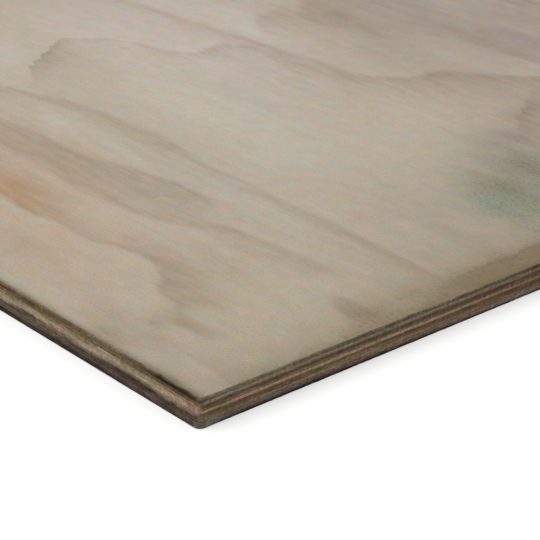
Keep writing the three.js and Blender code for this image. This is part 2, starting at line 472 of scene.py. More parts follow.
def stained(u, v, colour, patches):
    """The colour pulled towards each patch in turn, by its amount times a Gaussian of the distance, whose
    edge is frayed along the grain and blotchy across it."""
    fray = 0.35 * layered_noise(u / 70, v / 9, 31) + 0.45 * layered_noise(u / 22, v / 16, 37)
    result = np.broadcast_to(linear(colour), u.shape + (3,))
    for pu, pv, reach_u, reach_v, stain, amount in patches:
        distance = ((u - pu) / reach_u) ** 2 + ((v - pv) / reach_v) ** 2
        result = pulled(result, stain, np.clip(amount * np.exp(-distance) * (1 + fray), 0, 1))
    return result


print("the wood's own colour as Blender mixes it:", linear(WOOD).round(3))


# %% [markdown]
# The rest of the sheet has weathered too, without a plan: it drifts between warm and cool, and a few damp
# patches near its edges have turned grey.

# %% Weathering
DAMP = (140, 136, 120)
DAMP_REACH = 230.0  # mm from the nearest edge
DAMP_AMOUNT = 0.75
HUE_DRIFT = np.array([0.1, -0.01, -0.13])  # red, green and blue, from cool to warm


def weathered(u, v, colour, seed, share):
    """The colour times a drift in hue, then pulled towards grey where a noise is high, by
    e^(-distance from the nearest edge / reach)."""
    hue = share * layered_noise(u / 190, v / 90, seed + 11, 4)
    colour = colour * (1 + hue[:, None] * HUE_DRIFT)
    from_edge = np.minimum(np.minimum(u, 2 * HALF_LENGTH - u), np.minimum(v, 2 * HALF_WIDTH - v))
    damp = smooth_step(0.1, 0.55, layered_noise(u / 150, v / 95, seed + 13, 4))
    near = np.exp(-np.clip(from_edge, 0, None) / DAMP_REACH)
    return pulled(colour, DAMP, DAMP_AMOUNT * share * damp * near)


# %% [markdown]
# Hands, straps and wet ground darken a sheet from its edges inwards. Along the grain's own direction dirt
# gets only a few millimetres in, but the ends drink it up, some stretches more than others. Part of each
# end has stood in water, and is dark for about the width of a thumb. Beside the near corner the long
# side's darkening reaches farther, as painted shade of the splinters there.

# %% Grime, and painted splinter shade, along the arrises
# grime on the long sides, which beside the near corner also stands for painted shade of the splinters
SIDE_GRIME_AND_SHADE = (92, 80, 56)
END_GRIME = (104, 84, 46)
SIDE_REACH = 4.4
RIM_REACH = 2.8  # the worn rim itself
SPLINTER_SHADE_REACH = (5.5, 26, 24)  # painted shade of the splinters: more reach beside the near corner, how much, where, over what length
END_REACH = (18.0, 24.0)  # in the driest and the wettest stretch
WET_FROM = (60, 190)  # where along the end it begins to be wet, and where it is fully so
SOAKED = (137, 119, 90)
SOAKED_AMOUNT = 0.75
SOAK_DEPTH = 18.5
SOAK_RISE = (170, 214)  # where along the end the soaked band begins, and where it is full width
SOAK_SOFTNESS = 1.6


def grimed_and_shaded(u, v, colour):
    """The colour pulled towards the side's grime colour by 0.5 e^(-d / reach), uneven along the edge, and
    more on the rim; beside the near corner the reach grows, which paints the shade of the splinters there.
    An end takes up more where it has stood wet, and is driest beside its near corner. Where it stood in
    water the wood is dark as far as the water went."""
    from_side = np.clip(np.minimum(v, 2 * HALF_WIDTH - v), 0, None)
    from_end = np.clip(np.minimum(u, 2 * HALF_LENGTH - u), 0, None)
    more, where, length = SPLINTER_SHADE_REACH
    side_reach = SIDE_REACH + more * np.exp(-(((u - where) / length) ** 2))
    side = 0.5 * np.exp(-from_side / side_reach) + 0.32 * np.exp(-((from_side / RIM_REACH) ** 2))
    side *= 1 + 0.4 * layered_noise(u / 24, v / 9, 43)
    colour = pulled(colour, SIDE_GRIME_AND_SHADE, np.clip(side, 0, 1))
    wet = smooth_step(*WET_FROM, v + 50 * layered_noise(v / 60, MID_ROW, 47))
    band = SOAK_DEPTH * smooth_step(*SOAK_RISE, v) + 1.5 * layered_noise(v / 25, MID_ROW, 49)
    soaked = smooth_step(band + SOAK_SOFTNESS, band - SOAK_SOFTNESS, from_end) * smooth_step(2, 8, band)
    colour = pulled(colour, SOAKED, SOAKED_AMOUNT * wet * soaked)
    end_reach = END_REACH[0] + (END_REACH[1] - END_REACH[0]) * wet
    end = (0.2 + 0.33 * smooth_step(4, 34, v) + 0.2 * wet) * np.exp(-from_end / end_reach)
    end *= 1 + 0.4 * layered_noise(v / 16, u / 9, 45)
    return pulled(colour, END_GRIME, np.clip(end, 0, 1))


# %% [markdown]
# ## The rim
# Every ply has the same outline, so one set of stations around the sheet serves them all. They lie close
# together by the near corner and wide apart on the far edges. A station knows where the square outline is,
# which way is outwards, and how it moves as the corner's radius grows, which it does towards the underside,
# where the corner has been dragged and bumped.

# %% Stations around the sheet
HALF = np.array([HALF_LENGTH, HALF_WIDTH])
CORNER_RADIUS_FACE = 1.5
CORNER_RADIUS_BACK = 4.0
CORNER_CLEAR = 4.5  # from a corner to the first station of a straight side
ARC_STEPS = 12
NEAR_SPACING = ((0.8, 250), (1.6, 700), (7.0, np.inf))  # spacing, up to this distance from the near corner
FAR_SPACING = ((8.0, np.inf),)


def spaced(length, bands):
    """Distances from one corner to the other: equal steps within each band."""
    stops, start, last = [], CORNER_CLEAR, length - CORNER_CLEAR
    for step, limit in bands:
        end = min(limit, last)
        stops.append(np.linspace(start, end, round((end - start) / step), endpoint=False))
        start = end
    return np.append(np.concatenate(stops), last)


def walk_around():
    """The square outline, the outward direction and the bend of every station, anticlockwise from the near
    corner. A station lies at square + radius * bend: the bend is 0 on a straight side, and on a corner it is
    the outward direction less the two directions that lead to the corner."""
    length, width = 2 * HALF
    sides = (
        spaced(width, NEAR_SPACING),
        spaced(length, FAR_SPACING),
        spaced(width, FAR_SPACING),
        length - spaced(length, NEAR_SPACING)[::-1],
    )
    angle = np.linspace(0, math.pi / 2, ARC_STEPS + 1)[:, None]
    square, outward, bend = [], [], []
    for turn, along in enumerate(sides):
        out = np.round([math.cos(turn * math.pi / 2), math.sin(turn * math.pi / 2)])
        ahead = np.array([-out[1], out[0]])
        from_middle = along - abs(ahead @ HALF)
        arc = np.cos(angle) * out + np.sin(angle) * ahead
        square += [out * HALF + from_middle[:, None] * ahead, np.tile((out + ahead) * HALF, (len(arc), 1))]
        outward += [np.tile(out, (len(along), 1)), arc]
        bend += [np.zeros((len(along), 2)), arc - out - ahead]
    return np.concatenate(square), np.concatenate(outward), np.concatenate(bend)


rim_square, rim_outward, rim_bend = walk_around()
rim_run = (rim_square[:, 1] + HALF_WIDTH) - (HALF_LENGTH - rim_square[:, 0])  # v - u, unbroken at corners
rim_on_end = rim_outward[:, 0] ** 2  # 1 on the two ends, 0 on the two long sides
print("stations around the sheet:", len(rim_square))


def rim_points(z, inset):
    """Where the rim lies at each height, less an inset that is measured inwards from the clean outline."""
    radius = CORNER_RADIUS_BACK + (CORNER_RADIUS_FACE - CORNER_RADIUS_BACK) * z / THICKNESS
    flat = rim_square + radius[..., None] * rim_bend - inset[..., None] * rim_outward
    return np.concatenate([flat, z[..., None]], -1)


# %% [markdown]
# ## Splinters
# The thin face veneer splinters where the blade leaves it. A displacement texture could do that, but a
# splinter has a shape of its own: it opens slowly along the grain and ends abruptly. So each is a lopsided
# tooth, a few listed one by one beside the near corner and the others at random.

# %% Splinters off the face veneer
# run (v - u), length before, length after, depth
NEAR_SPLINTERS = (
    (-12, 2.5, 4.5, 0.3), (-32, 1.6, 3.4, 1.1), (-47, 9.0, 5.0, 0.3), (-66, 6.0, 4.0, 0.35),
    (-92, 5.0, 10.0, 0.4), (-118, 4.0, 5.0, 0.35),
)
BY_HAND = (-140, 60)  # the run that has no random splinters
FAR_SPLINTERS = 170
END_SPLINTERS = 0.45  # how deep they are on the ends, against the long sides
RAGGEDNESS = 0.12


def splinter_depth():
    """How far the upper arris is broken back at each station: the deepest tooth there, (1 - distance from its
    tip / its length)^0.7 of its depth, plus a fine raggedness."""
    rng = np.random.default_rng(61)
    spread = np.column_stack(
        [
            rng.uniform(-2 * HALF_LENGTH, 2 * HALF_WIDTH, FAR_SPLINTERS),
            rng.uniform(4, 26, FAR_SPLINTERS),
            rng.uniform(2, 7, FAR_SPLINTERS),
            rng.uniform(0.15, 1.0, FAR_SPLINTERS) ** 2,
        ]
    )
    spread = spread[(spread[:, 0] < BY_HAND[0]) | (spread[:, 0] > BY_HAND[1])]
    depth = np.zeros(len(rim_run))
    for run, before, after, deepest in (*NEAR_SPLINTERS, *spread):
        away = rim_run - run
        tooth = 1 - np.abs(away) / np.where(away < 0, before, after)
        depth = np.maximum(depth, deepest * np.clip(tooth, 0, 1) ** 0.7)
    ragged = RAGGEDNESS * (1 + layered_noise(rim_run / 2.4, MID_ROW, 71, 2))
    return (depth + ragged) * np.where(rim_on_end > 0.5, END_SPLINTERS, 1.0)


splinters = splinter_depth()
print("deepest splinter, mm:", round(float(splinters.max()), 2))

# %% [markdown]
# ## What a saw and a few years do to an edge
# A saw leaves long grain smooth and end grain torn, so a ply that shows its end grain lies a few tenths of
# a millimetre behind its neighbours, and glue lines show as fine grooves. All of it is an inset from the
# clean outline, so nothing is ever added outside it. Real relief is used here, and not only a bump, because
# a low sun or a close view shows it along the arrises.

# %% Inset of one ply
LONG_GRAIN = ("back_veneer", "lower_core_ply", "upper_core_ply", "face_veneer")  # grain runs along the sheet
# how far a ply lies back, in mm, on the long sides and on the ends
RECESS = {
    "back_veneer": (0.02, 0.03),
    "lower_crossband": (0.40, 0.05),
    "lower_core_ply": (0.15, 0.25),
    "centre_ply": (0.05, 0.02),
    "upper_core_ply": (0.02, 0.28),
    "upper_crossband": (0.45, 0.05),
    "face_veneer": (0.00, 0.08),
}
TORN = (0.05, 0.13)  # depth of the roughness on long grain, and how much more on end grain
GLUE_GROOVE = 0.12
GROOVE_WIDTH = 0.14
GAP_DEPTH = 0.9  # where the face veneer has started to lift, beside the near corner
GAP_HEIGHT = 16.5
GAP_WIDTH = 0.45
GAP_MIDDLE = -20.0
GAP_REACH = 26.0
FACE_ARRIS = 0.5
BACK_ARRIS = 0.5


def arris_inset(depth, radius):
    """How far a rounded arris lies back at a depth below its flat face: a quarter circle."""
    beyond = np.clip(1 - depth / radius, 0, 1)
    return radius * (1 - np.sqrt(1 - beyond**2))


def ply_inset(name, z):
    """Recess with a slow drift, plus roughness that is over three times as strong on end grain, plus a groove
    at each glue line and the slit under the lifted veneer, which are Gaussians of the height. The two outer
    veneers also round off at their outer arris, and the face veneer has the splinters."""
    low, high = ply_heights[name]
    seed = 100 + 10 * PLY_NAMES.index(name)
    end_grain = rim_on_end if name in LONG_GRAIN else 1 - rim_on_end
    long_side, end_side = RECESS[name]
    inset = long_side + (end_side - long_side) * rim_on_end
    inset = inset * (1 + 0.6 * layered_noise(rim_run / 38, MID_ROW, seed))
    rough = 0.5 + 0.5 * layered_noise(rim_run / 2.2, z / 0.8, seed + 4, 2)
    inset = inset + (TORN[0] + TORN[1] * end_grain) * rough
    if name != "back_veneer":
        inset += GLUE_GROOVE * np.exp(-(((z - low) / GROOVE_WIDTH) ** 2))
    if name != "face_veneer":
        inset += GLUE_GROOVE * np.exp(-(((high - z) / GROOVE_WIDTH) ** 2))
    gap = np.exp(-(((rim_run - GAP_MIDDLE) / GAP_REACH) ** 2) - ((z - GAP_HEIGHT) / GAP_WIDTH) ** 2)
    inset += GAP_DEPTH * gap * (1 - rim_on_end)
    if name == "back_veneer":
        inset += arris_inset(z, BACK_ARRIS * (1 + 0.5 * rough))
    if name == "face_veneer":
        inset += splinters * (0.25 + 0.75 * (z - low) / (high - low))
        knocks = rim_on_end * smooth_step(0.1, 0.7, layered_noise(rim_run / 16, MID_ROW, 77, 2))
        inset += arris_inset(high - z, FACE_ARRIS * (1 + 0.3 * rough + 1.2 * knocks))
    return inset


# %% [markdown]
# ## From rows of points to closed solids
# Each ply is a stack of rows around the rim, closed above and below. The face of the sheet needs many
# points at the rim, for the splinters, and few in the middle. Its rows therefore go a little way inwards,
# and then a zip of triangles joins the last row to a plain grid: both run around the same square, so
# sorting their points by the angle around it says which grid point belongs to each short edge.

# %% Joining loops of points
def row_quads(first, rows, count):
    """Quads between successive rows of count points, whose numbers start at first."""
    start = first + count * np.arange(rows - 1)[:, None]
    here, ahead = np.arange(count), np.roll(np.arange(count), -1)
    quads = [start + here, start + ahead, start + count + ahead, start + count + here]
    return np.stack(quads, -1).reshape(-1, 4)


def square_angle(points, half):
    """A number that grows anticlockwise around a square, from -1 at the near corner to 7: the position
    along the side that a point faces, plus 2 for each side before it."""
    a, b = (points / half).T
    with np.errstate(divide="ignore", invalid="ignore"):
        across, along = b / a, a / b
    facing_x = np.abs(a) >= np.abs(b)
    faces = [facing_x & (a > 0), ~facing_x & (b > 0), facing_x & (a < 0), ~facing_x & (b < 0)]
    return np.select(faces, [across, 2 - along, 4 + across, 6 - along])


def zip_loops(outer, outer_angle, inner, inner_angle):
    """Triangles between two loops of point numbers. Each outer edge takes the inner point nearest in angle,
    and each inner edge takes the outer point at which that choice changes."""
    outer = outer[np.argsort(outer_angle)]
    inner = inner[np.argsort(inner_angle)]
    outer_angle, inner_angle = np.sort(outer_angle), np.sort(inner_angle)
    middle = (outer_angle[1:] + outer_angle[:-1]) / 2
    between = (inner_angle[1:] + inner_angle[:-1]) / 2
    apex = np.append(np.searchsorted(between, middle), len(inner))
    turn = np.searchsorted(apex, np.arange(len(inner)), side="right")
    fan = np.column_stack([outer, np.roll(outer, -1), inner[apex % len(inner)]])
    gaps = np.column_stack([np.roll(inner, -1), inner, outer[turn % len(outer)]])
    return np.concatenate([fan, gaps])


# %% [markdown]
# A large face doesn't need to be flat to the last hair, and a real one isn't, so it is wavy by less than a
# tenth of a millimetre. Its grid carries the figure as well, which needs a point every few millimetres near
# the corner that is looked at. Farther away the grid is twice as coarse, to save points.

# %% Grid of the large faces
GRID_BORDER = 12.0
GRID_NEAR = 6.0
GRID_FAR = 12.0
NEAR_REACH = 700.0
INWARD_ROWS = (0.4, 1.0, 1.9, 3.2, 5.2, 8.0)
WAVE_DEPTH = 0.05


def grid_lines(half, near_sign):
    """Grid lines from border to border, at half the spacing up to NEAR_REACH from the near side."""
    edge = half - GRID_BORDER
    switch = half - NEAR_REACH
    near = np.linspace(edge, switch, round((edge - switch) / GRID_NEAR), endpoint=False)
    far = np.linspace(switch, -edge, round((switch + edge) / GRID_FAR) + 1)
    return np.sort(near_sign * np.concatenate([near, far]))


def large_face(edge_row, clean_row, level):
    """Points and faces that close a row of rim points with inward rows, a zip and a grid. Splinters die out
    over the inward rows. The surface is wavy by less than a tenth of a millimetre, within its rim's level."""
    inward = np.array(INWARD_ROWS)[:, None, None]
    mended = inward / INWARD_ROWS[-1]
    rows = (edge_row + mended * (clean_row - edge_row)) * (1 - inward / HALF)
    x, y = np.meshgrid(grid_lines(HALF_LENGTH, 1), grid_lines(HALF_WIDTH, -1), indexing="ij")
    flat = np.concatenate([rows.reshape(-1, 2), np.stack([x, y], -1).reshape(-1, 2)])
    waves = WAVE_DEPTH * (1 + layered_noise(flat[:, 0] / 90, flat[:, 1] / 45, 83))
    dip = waves * smooth_step(0, GRID_BORDER, (HALF - np.abs(flat)).min(1))
    points = np.column_stack([flat, level - dip if level > 0 else level + dip])
    count = len(edge_row)
    number = count * (len(INWARD_ROWS) + 1) + np.arange(x.size).reshape(x.shape)
    cells = np.stack([number[:-1, :-1], number[1:, :-1], number[1:, 1:], number[:-1, 1:]], -1)
    border = np.concatenate([number[-1, :], number[-2::-1, -1], number[0, -2::-1], number[1:-1, 0]])
    last = count * len(INWARD_ROWS) + np.arange(count)
    last_angle = square_angle(flat[last - count], HALF)
    border_angle = square_angle(flat[border - count], HALF - GRID_BORDER)
    quads = np.concatenate([row_quads(0, len(INWARD_ROWS) + 1, count), cells.reshape(-1, 4)])
    return points, [quads, zip_loops(last, last_angle, border, border_angle)]


print("grid lines along and across:", len(grid_lines(HALF_LENGTH, 1)), len(grid_lines(HALF_WIDTH, -1)))


# %% [markdown]
# ## Colours of the edge
# A ply looks light where the saw ran along its fibres and dark where it cut them, since open pores hold
# dirt and drink stain. So every ply has two colours, one for the long sides and one for the ends. Dark
# lines run below the face veneer, dirt along the glue and painted shade under the veneer's edge, and
# along the underside, dirt and painted shade of the bottom arris. Torn fibres make pale lines. The patches
# by the near corner are listed one by one: raw wood, algae, resin, knocks and dirt, and a painted shadow in
# the slit under the lifted face veneer.

# %% Edge colours
# name: colour on the long sides, colour on the ends
EDGE_COLOURS = {
    "back_veneer": ((80, 66, 58), (98, 82, 69)),
    "lower_crossband": ((84, 68, 58), (118, 99, 79)),
    "lower_core_ply": ((116, 101, 84), (94, 73, 53)),
    "centre_ply": ((148, 134, 112), (138, 117, 96)),
    "upper_core_ply": ((139, 122, 98), (91, 72, 52)),
    "upper_crossband": ((108, 91, 68), (122, 108, 90)),
    "face_veneer": ((104, 87, 64), (112, 99, 76)),
}
BLEED = 0.5  # how far a ply's stain creeps past its glue line, in mm
RAGGED = (0.8, 0.25)  # how far a line wanders up and down in mm, on the long sides and on the ends
SPOTTED = (1.5, 0.4)  # how much a line breaks up into spots, likewise
# on an end (1) or a long side (0), height, reach up and down, colour, amount
EDGE_LINES = (
    # dark under the face veneer's edge: dirt along the glue, and painted shade under the veneer
    (0, 16.3, 1, (80, 62, 38), 0.7),
    (0, 15.7, 0.45, (34, 25, 15), 0.6),  # beads of dirt
    (0, 13.2, 1.3, (108, 90, 66), 0.7),
    (0, 10.8, 0.9, (160, 144, 118), 0.5),
    (0, 6.2, 1.3, (62, 49, 41), 0.85),
    (0, 4.1, 0.7, (106, 90, 74), 0.6),
    # darker towards the underside: dirt, and painted shade of the bottom arris
    (0, 1.9, 1.8, (42, 30, 26), 0.7),
    (0, 0.2, 0.7, (15, 11, 9), 0.85),
    (1, 16.9, 0.5, (70, 62, 46), 0.35),
    (1, 15.5, 0.7, (146, 131, 110), 0.85),  # torn fibres
    (1, 10.5, 1.05, (158, 136, 110), 0.8),
    (1, 5.9, 0.9, (134, 115, 92), 0.8),
    (1, 3.4, 1.1, (114, 98, 80), 0.6),
    # the end darkened at its bottom arris: dirt, and painted shade of the arris
    (1, 0.7, 1.4, (16, 12, 11), 0.97),
)
# run (v - u), height, reach along the run, reach in height, colour, amount
EDGE_PATCHES = (
    # the long side, from the corner
    # the next two: painted shadow in the slit under the lifted face veneer, with dirt
    (-26, 16.3, 28, 1.4, (33, 23, 13), 0.9),
    (-12, 15.9, 12, 1, (42, 27, 10), 0.75),
    (-10, 17.5, 15, 0.9, (52, 39, 24), 0.8),
    (-6, 10, 5, 2.4, (136, 98, 82), 0.8),  # raw wood
    (-15, 12, 8, 2, (150, 118, 98), 0.6),
    (-39, 3.4, 3, 0.8, (120, 112, 108), 0.5),
    (-52, 3.2, 10, 1.6, (92, 70, 68), 0.5),
    (-74, 3.6, 7, 1.6, (94, 72, 70), 0.5),
    (-96, 13.6, 10, 1.2, (100, 84, 48), 0.6),
    (-142, 8.2, 9, 1.6, (52, 56, 34), 0.95),  # algae in a hollow
    (-142, 11.6, 8, 1.4, (148, 144, 116), 0.6),
    (-138, 5.4, 34, 1.3, (104, 90, 72), 0.7),
    (-80, 7.6, 16, 1.4, (60, 48, 42), 0.7),
    (-150, 1.4, 34, 1.6, (52, 37, 34), 0.6),
    (-100, 15.2, 30, 1.2, (136, 120, 90), 0.5),
    (-118, 15.6, 16, 1.3, (80, 64, 40), 0.5),
    (-118, 8.6, 13, 0.9, (82, 70, 52), 0.5),
    (-118, 3.1, 16, 1.1, (40, 29, 22), 0.65),
    (-113, 6.2, 9, 1.5, (110, 95, 80), 0.6),
    (-54, 2.4, 12, 1, (74, 60, 52), 0.5),
    (-84, 9.2, 14, 2, (172, 155, 134), 0.6),
    (-58, 14.8, 14, 2, (126, 108, 82), 0.55),
    (-50, 7.2, 25, 1.7, (38, 27, 21), 0.8),
    (-13, 7.6, 9, 0.9, (138, 118, 102), 0.6),
    (-175, 15.8, 26, 1.2, (76, 58, 36), 0.75),
    (-164, 9.4, 9, 1.7, (170, 154, 128), 0.5),
    (-160, 4.1, 30, 0.8, (118, 102, 84), 0.7),
    (-175, 2.7, 32, 1.4, (32, 22, 18), 0.9),
    (-16, 0.8, 32, 0.8, (66, 54, 46), 0.75),
    (-27, 9.8, 13, 1.4, (170, 152, 124), 0.6),
    (-65, 12, 8, 1.6, (120, 104, 80), 0.5),
    (-15, 3.2, 24, 0.9, (92, 76, 66), 0.5),
    # the end, from the corner
    (14, 17.6, 12, 1.1, (128, 118, 104), 0.85),
    (19, 12.9, 4, 1, (68, 58, 30), 0.6),
    (5, 0.9, 6, 1.5, (150, 146, 138), 0.6),
    (10, 3.6, 9, 1.8, (116, 122, 104), 0.85),
    (50, 12.4, 9, 1.8, (96, 78, 44), 0.6),
    (58, 3.6, 12, 1.9, (98, 82, 84), 0.6),
    (84, 14.2, 12, 0.9, (76, 62, 40), 0.5),
    (92, 12.4, 5, 1.2, (78, 62, 28), 0.6),
    (113, 17, 5, 0.8, (48, 60, 44), 0.7),
    (113, 4.2, 6, 2, (126, 84, 74), 0.6),
    (137, 17, 4, 0.8, (44, 52, 40), 0.7),
    (150, 8.2, 20, 0.8, (88, 58, 30), 0.6),
    (153, 17, 4, 0.8, (50, 62, 46), 0.7),
    (184, 12.4, 7, 1.2, (98, 66, 34), 0.7),
    (182, 8.6, 4, 1.2, (142, 98, 62), 0.6),
    (218, 8.2, 26, 0.9, (114, 90, 64), 0.5),
    (206, 11.6, 24, 0.8, (76, 58, 40), 0.5),
    (204, 16.6, 8, 0.9, (52, 42, 34), 0.6),
    (256, 0.6, 9, 1.3, (118, 104, 94), 0.45),
    (205, 8, 4, 1, (58, 60, 38), 0.7),
    (215, 8.2, 5, 1.4, (140, 90, 56), 0.7),  # resin
    (226, 12.2, 13, 1.2, (66, 48, 38), 0.5),
    (280, 17.2, 62, 1.5, (72, 55, 34), 0.8),
    (280, 15.4, 66, 1.1, (108, 92, 74), 0.65),
    (278, 10.3, 58, 1.2, (100, 75, 53), 0.85),
    (280, 5.6, 66, 1.3, (92, 70, 50), 0.75),
    (150, 14.6, 55, 0.9, (106, 94, 78), 0.5),
    (100, 6.6, 18, 1.7, (136, 114, 90), 0.65),
    (70, 7.8, 16, 1.1, (118, 96, 66), 0.55),
    (76, 11, 38, 0.8, (150, 126, 98), 0.45),
    (120, 5.8, 24, 1.1, (150, 126, 104), 0.55),
    (68, 1.8, 18, 1, (36, 27, 23), 0.5),
    (136, 4.6, 18, 1.7, (136, 114, 94), 0.65),
    (188, 3.2, 34, 1.6, (134, 106, 86), 0.65),
    (90, 16.3, 44, 0.8, (120, 108, 84), 0.4),
    (46, 3.4, 38, 1.2, (124, 108, 90), 0.5),
    (238, 2.7, 40, 1.2, (136, 116, 98), 0.9),
)
print("lines and patches of the edges:", len(EDGE_LINES), len(EDGE_PATCHES))

# %% [markdown]
# The wood's own colour also drifts, since no two stretches of veneer are alike. A slow noise and two quick
# ones change its brightness, and three others turn its hue a little: warm or cool, pink or green, and
# yellow or blue. The lines and patches come last, because they lie over the wood: dirt, and some painted
# shade.

# %% Tint of an edge
BRIGHTNESS = (0.2, 0.38, 0.32)  # share of the slow, the quick and the blotchy noise
WARM = np.array([0.12, 0.0, -0.16])  # red, green and blue
PINK = np.array([0.26, -0.18, 0.08])
YELLOW = np.array([0.06, 0.02, -0.34])


def ply_colours(z, on_end):
    """The lowest ply's colour plus, at each glue line, a smooth step to the colour of the ply above it."""
    colours = [linear(EDGE_COLOURS[name][on_end]) for name in PLY_NAMES]
    tint = colours[0] + 0 * z[..., None]
    for name, below, above in zip(PLY_NAMES[1:], colours, colours[1:]):
        line = ply_heights[name][0]
        tint += smooth_step(line - BLEED, line + BLEED, z)[..., None] * (above - below)
    return tint


def drifting_tint(z, seed):
    """The colours of side and end blended around a corner, times a drift in brightness and three in hue."""
    side = ply_colours(z, 0)
    tint = side + rim_on_end[:, None] * (ply_colours(z, 1) - side)
    slow = layered_noise(rim_run / 60, MID_ROW, seed)
    quick = layered_noise(rim_run / 11, z / 1.6, seed + 4)
    blotch = layered_noise(rim_run / 5, z / 3, 291)
    tint *= (1 + BRIGHTNESS[0] * slow + BRIGHTNESS[1] * quick + BRIGHTNESS[2] * blotch)[..., None]
    tint *= 1 + layered_noise(rim_run / 30, z / 5, seed + 8, 2)[..., None] * WARM
    tint *= 1 + layered_noise(rim_run / 6, z / 1.6, 295)[..., None] * PINK
    tint *= 1 + layered_noise(rim_run / 7, z / 1.8, 296)[..., None] * YELLOW
    return tint


def edge_tint(name, z):
    """The drifting tint pulled towards the lines and then the patches, each by its amount times a Gaussian of
    the distance. Lines wander up and down and break up into spots, and patches are blotchy."""
    tint = drifting_tint(z, 200 + 10 * PLY_NAMES.index(name))
    for side, height, reach_z, stain, amount in EDGE_LINES:
        here = rim_on_end if side else 1 - rim_on_end
        spots = SPOTTED[side] * layered_noise(rim_run / 5, z / 4 + height, 294)
        uneven = 1 + 0.35 * layered_noise(rim_run / 8, height, 297) + spots
        torn = RAGGED[side] * layered_noise(rim_run / 4, height, 298)
        share = here * uneven * amount * np.exp(-(((z + torn - height) / reach_z) ** 2))
        tint = pulled(tint, stain, np.clip(share, 0, 1))
    uneven = 1 + 0.35 * layered_noise(rim_run / 3, z / 1.5, 299, 2)
    for at, height, reach, reach_z, stain, amount in EDGE_PATCHES:
        share = amount * uneven * np.exp(-(((rim_run - at) / reach) ** 2) - ((z - height) / reach_z) ** 2)
        tint = pulled(tint, stain, np.clip(share, 0, 1))
    return tint


# %% [markdown]
# ## Making the meshes
# A mesh keeps each vertex's place and also anything else that the shader needs there, as named attributes.
# Writing whole arrays at once with `foreach_set` is far quicker than adding faces one by one.

# %% Mesh helpers
MAP_NAME = "OFBake"


def new_mesh(name, points, faces, places, attributes):
    """A mesh from points in mm. Each entry of faces is an array with one face per row, or one long face, and
    places says where their corners lie on the UV map."""
    faces = [np.atleast_2d(group) for group in faces]
    corners = np.concatenate([group.ravel() for group in faces])
    sizes = np.concatenate([np.full(len(group), group.shape[1]) for group in faces])
    mesh = bpy.data.meshes.new(name)
    mesh.vertices.add(len(points))
    mesh.loops.add(len(corners))
    mesh.polygons.add(len(sizes))
    mesh.vertices.foreach_set("co", (points * MM).ravel())
    mesh.loops.foreach_set("vertex_index", corners)
    mesh.polygons.foreach_set("loop_start", np.concatenate([[0], np.cumsum(sizes)[:-1]]))
    mesh.polygons.foreach_set("loop_total", sizes)
    mesh.update(calc_edges=True)
    for label, values in attributes.items():
        layer = mesh.attributes.new(label, "FLOAT_VECTOR", "POINT")
        layer.data.foreach_set("vector", values.astype(np.float32).ravel())
    mesh.uv_layers.new(name=MAP_NAME).uv.foreach_set("vector", places.astype(np.float32).ravel())
    return mesh


# %% [markdown]
# A game or a viewer can't run the node trees below, so they have to be baked into images, and the mesh
# needs a UV map that spends the image well. The rim is 7.3 m long and only two to four millimetres high, so
# it is cut into short strips, laid one above another, each with as many columns of quads. The large face
# takes the rest of the image, squeezed more and more towards the far corner, where there is least to see.
# The faces shut in at the glue lines get a corner of the image.

# %% UV map
MAP_STRIPS = 24
MAP_GAP = 0.25  # the empty part of a strip's height
MAP_MARGIN = 0.01
RIM_SHARE = 0.36  # of the image's height, on the two outer plies
INNER_RIM_SHARE = 0.93
GLUE_SHARE = 0.05
SQUEEZE = (600.0, 400.0)  # mm along the sheet and across it


def rim_places(rows, count, share):
    """Where the corners of the rim's quads lie: column along a strip, row across it."""
    columns = math.ceil(count / MAP_STRIPS)
    strip, column = np.divmod(np.arange(count), columns)
    row = np.arange(rows - 1)[:, None]
    along = np.stack([column, column + 1, column + 1, column], -1) / columns
    across = np.stack([row, row, row + 1, row + 1], -1) / (rows - 1)
    up = (strip[:, None] + MAP_GAP / 2 + (1 - MAP_GAP) * across) / MAP_STRIPS * share
    return np.stack(np.broadcast_arrays(along, up), -1).reshape(-1, 2)


def flat_places(points, low, high):
    """Where points of a flat face lie in a rectangle of the image, given by two corners: log(1 + distance
    from the near corner of the sheet / squeeze), brought to the range 0 to 1."""
    near = np.column_stack([HALF_LENGTH - points[:, 0], points[:, 1] + HALF_WIDTH])
    place = np.log1p(np.clip(near, 0, None) / SQUEEZE) / np.log1p(2 * HALF / SQUEEZE)
    return low + (np.array(high) - low) * place


def map_places(points, row_count, hidden, panel):
    """Where all corners of one ply lie: the rim's strips below, the large face above them, if there is one,
    and the faces at the glue lines in the upper left corner."""
    share = RIM_SHARE if panel else INNER_RIM_SHARE
    top = 1 - MAP_MARGIN
    places = [rim_places(row_count, len(rim_run), share)]
    for index, loop in enumerate(hidden):
        left = MAP_MARGIN + 2 * GLUE_SHARE * index
        places.append(flat_places(points[loop], (left, top - GLUE_SHARE), (left + GLUE_SHARE, top)))
    for group in panel:
        box = (0.0, share + MAP_MARGIN / 2), (1.0, top - MAP_MARGIN - GLUE_SHARE)
        places.append(flat_places(points[group.ravel()], *box))
    return np.concatenate(places)


print("columns of quads in one strip of the map:", math.ceil(len(rim_run) / MAP_STRIPS))


# %% [markdown]
# ## One ply
# The rows of the rim lie close together at the glue lines and around an outer arris, where the edge bends
# most. Evenly spaced rows would have to be several times as many to show the same.

# %% Rows of one ply
ROW_SHARES = np.array([0, 0.04, 0.1, 0.2, 0.35, 0.5, 0.65, 0.8, 0.9, 0.96, 1])  # of the ply's height
ARRIS_DEPTHS = np.array([1.2, 0.9, 0.65, 0.45, 0.3, 0.18, 0.09, 0.03, 0])  # mm from the flat face
FACE_DEPTHS = 0.8 * ARRIS_DEPTHS  # the face's arris is smaller


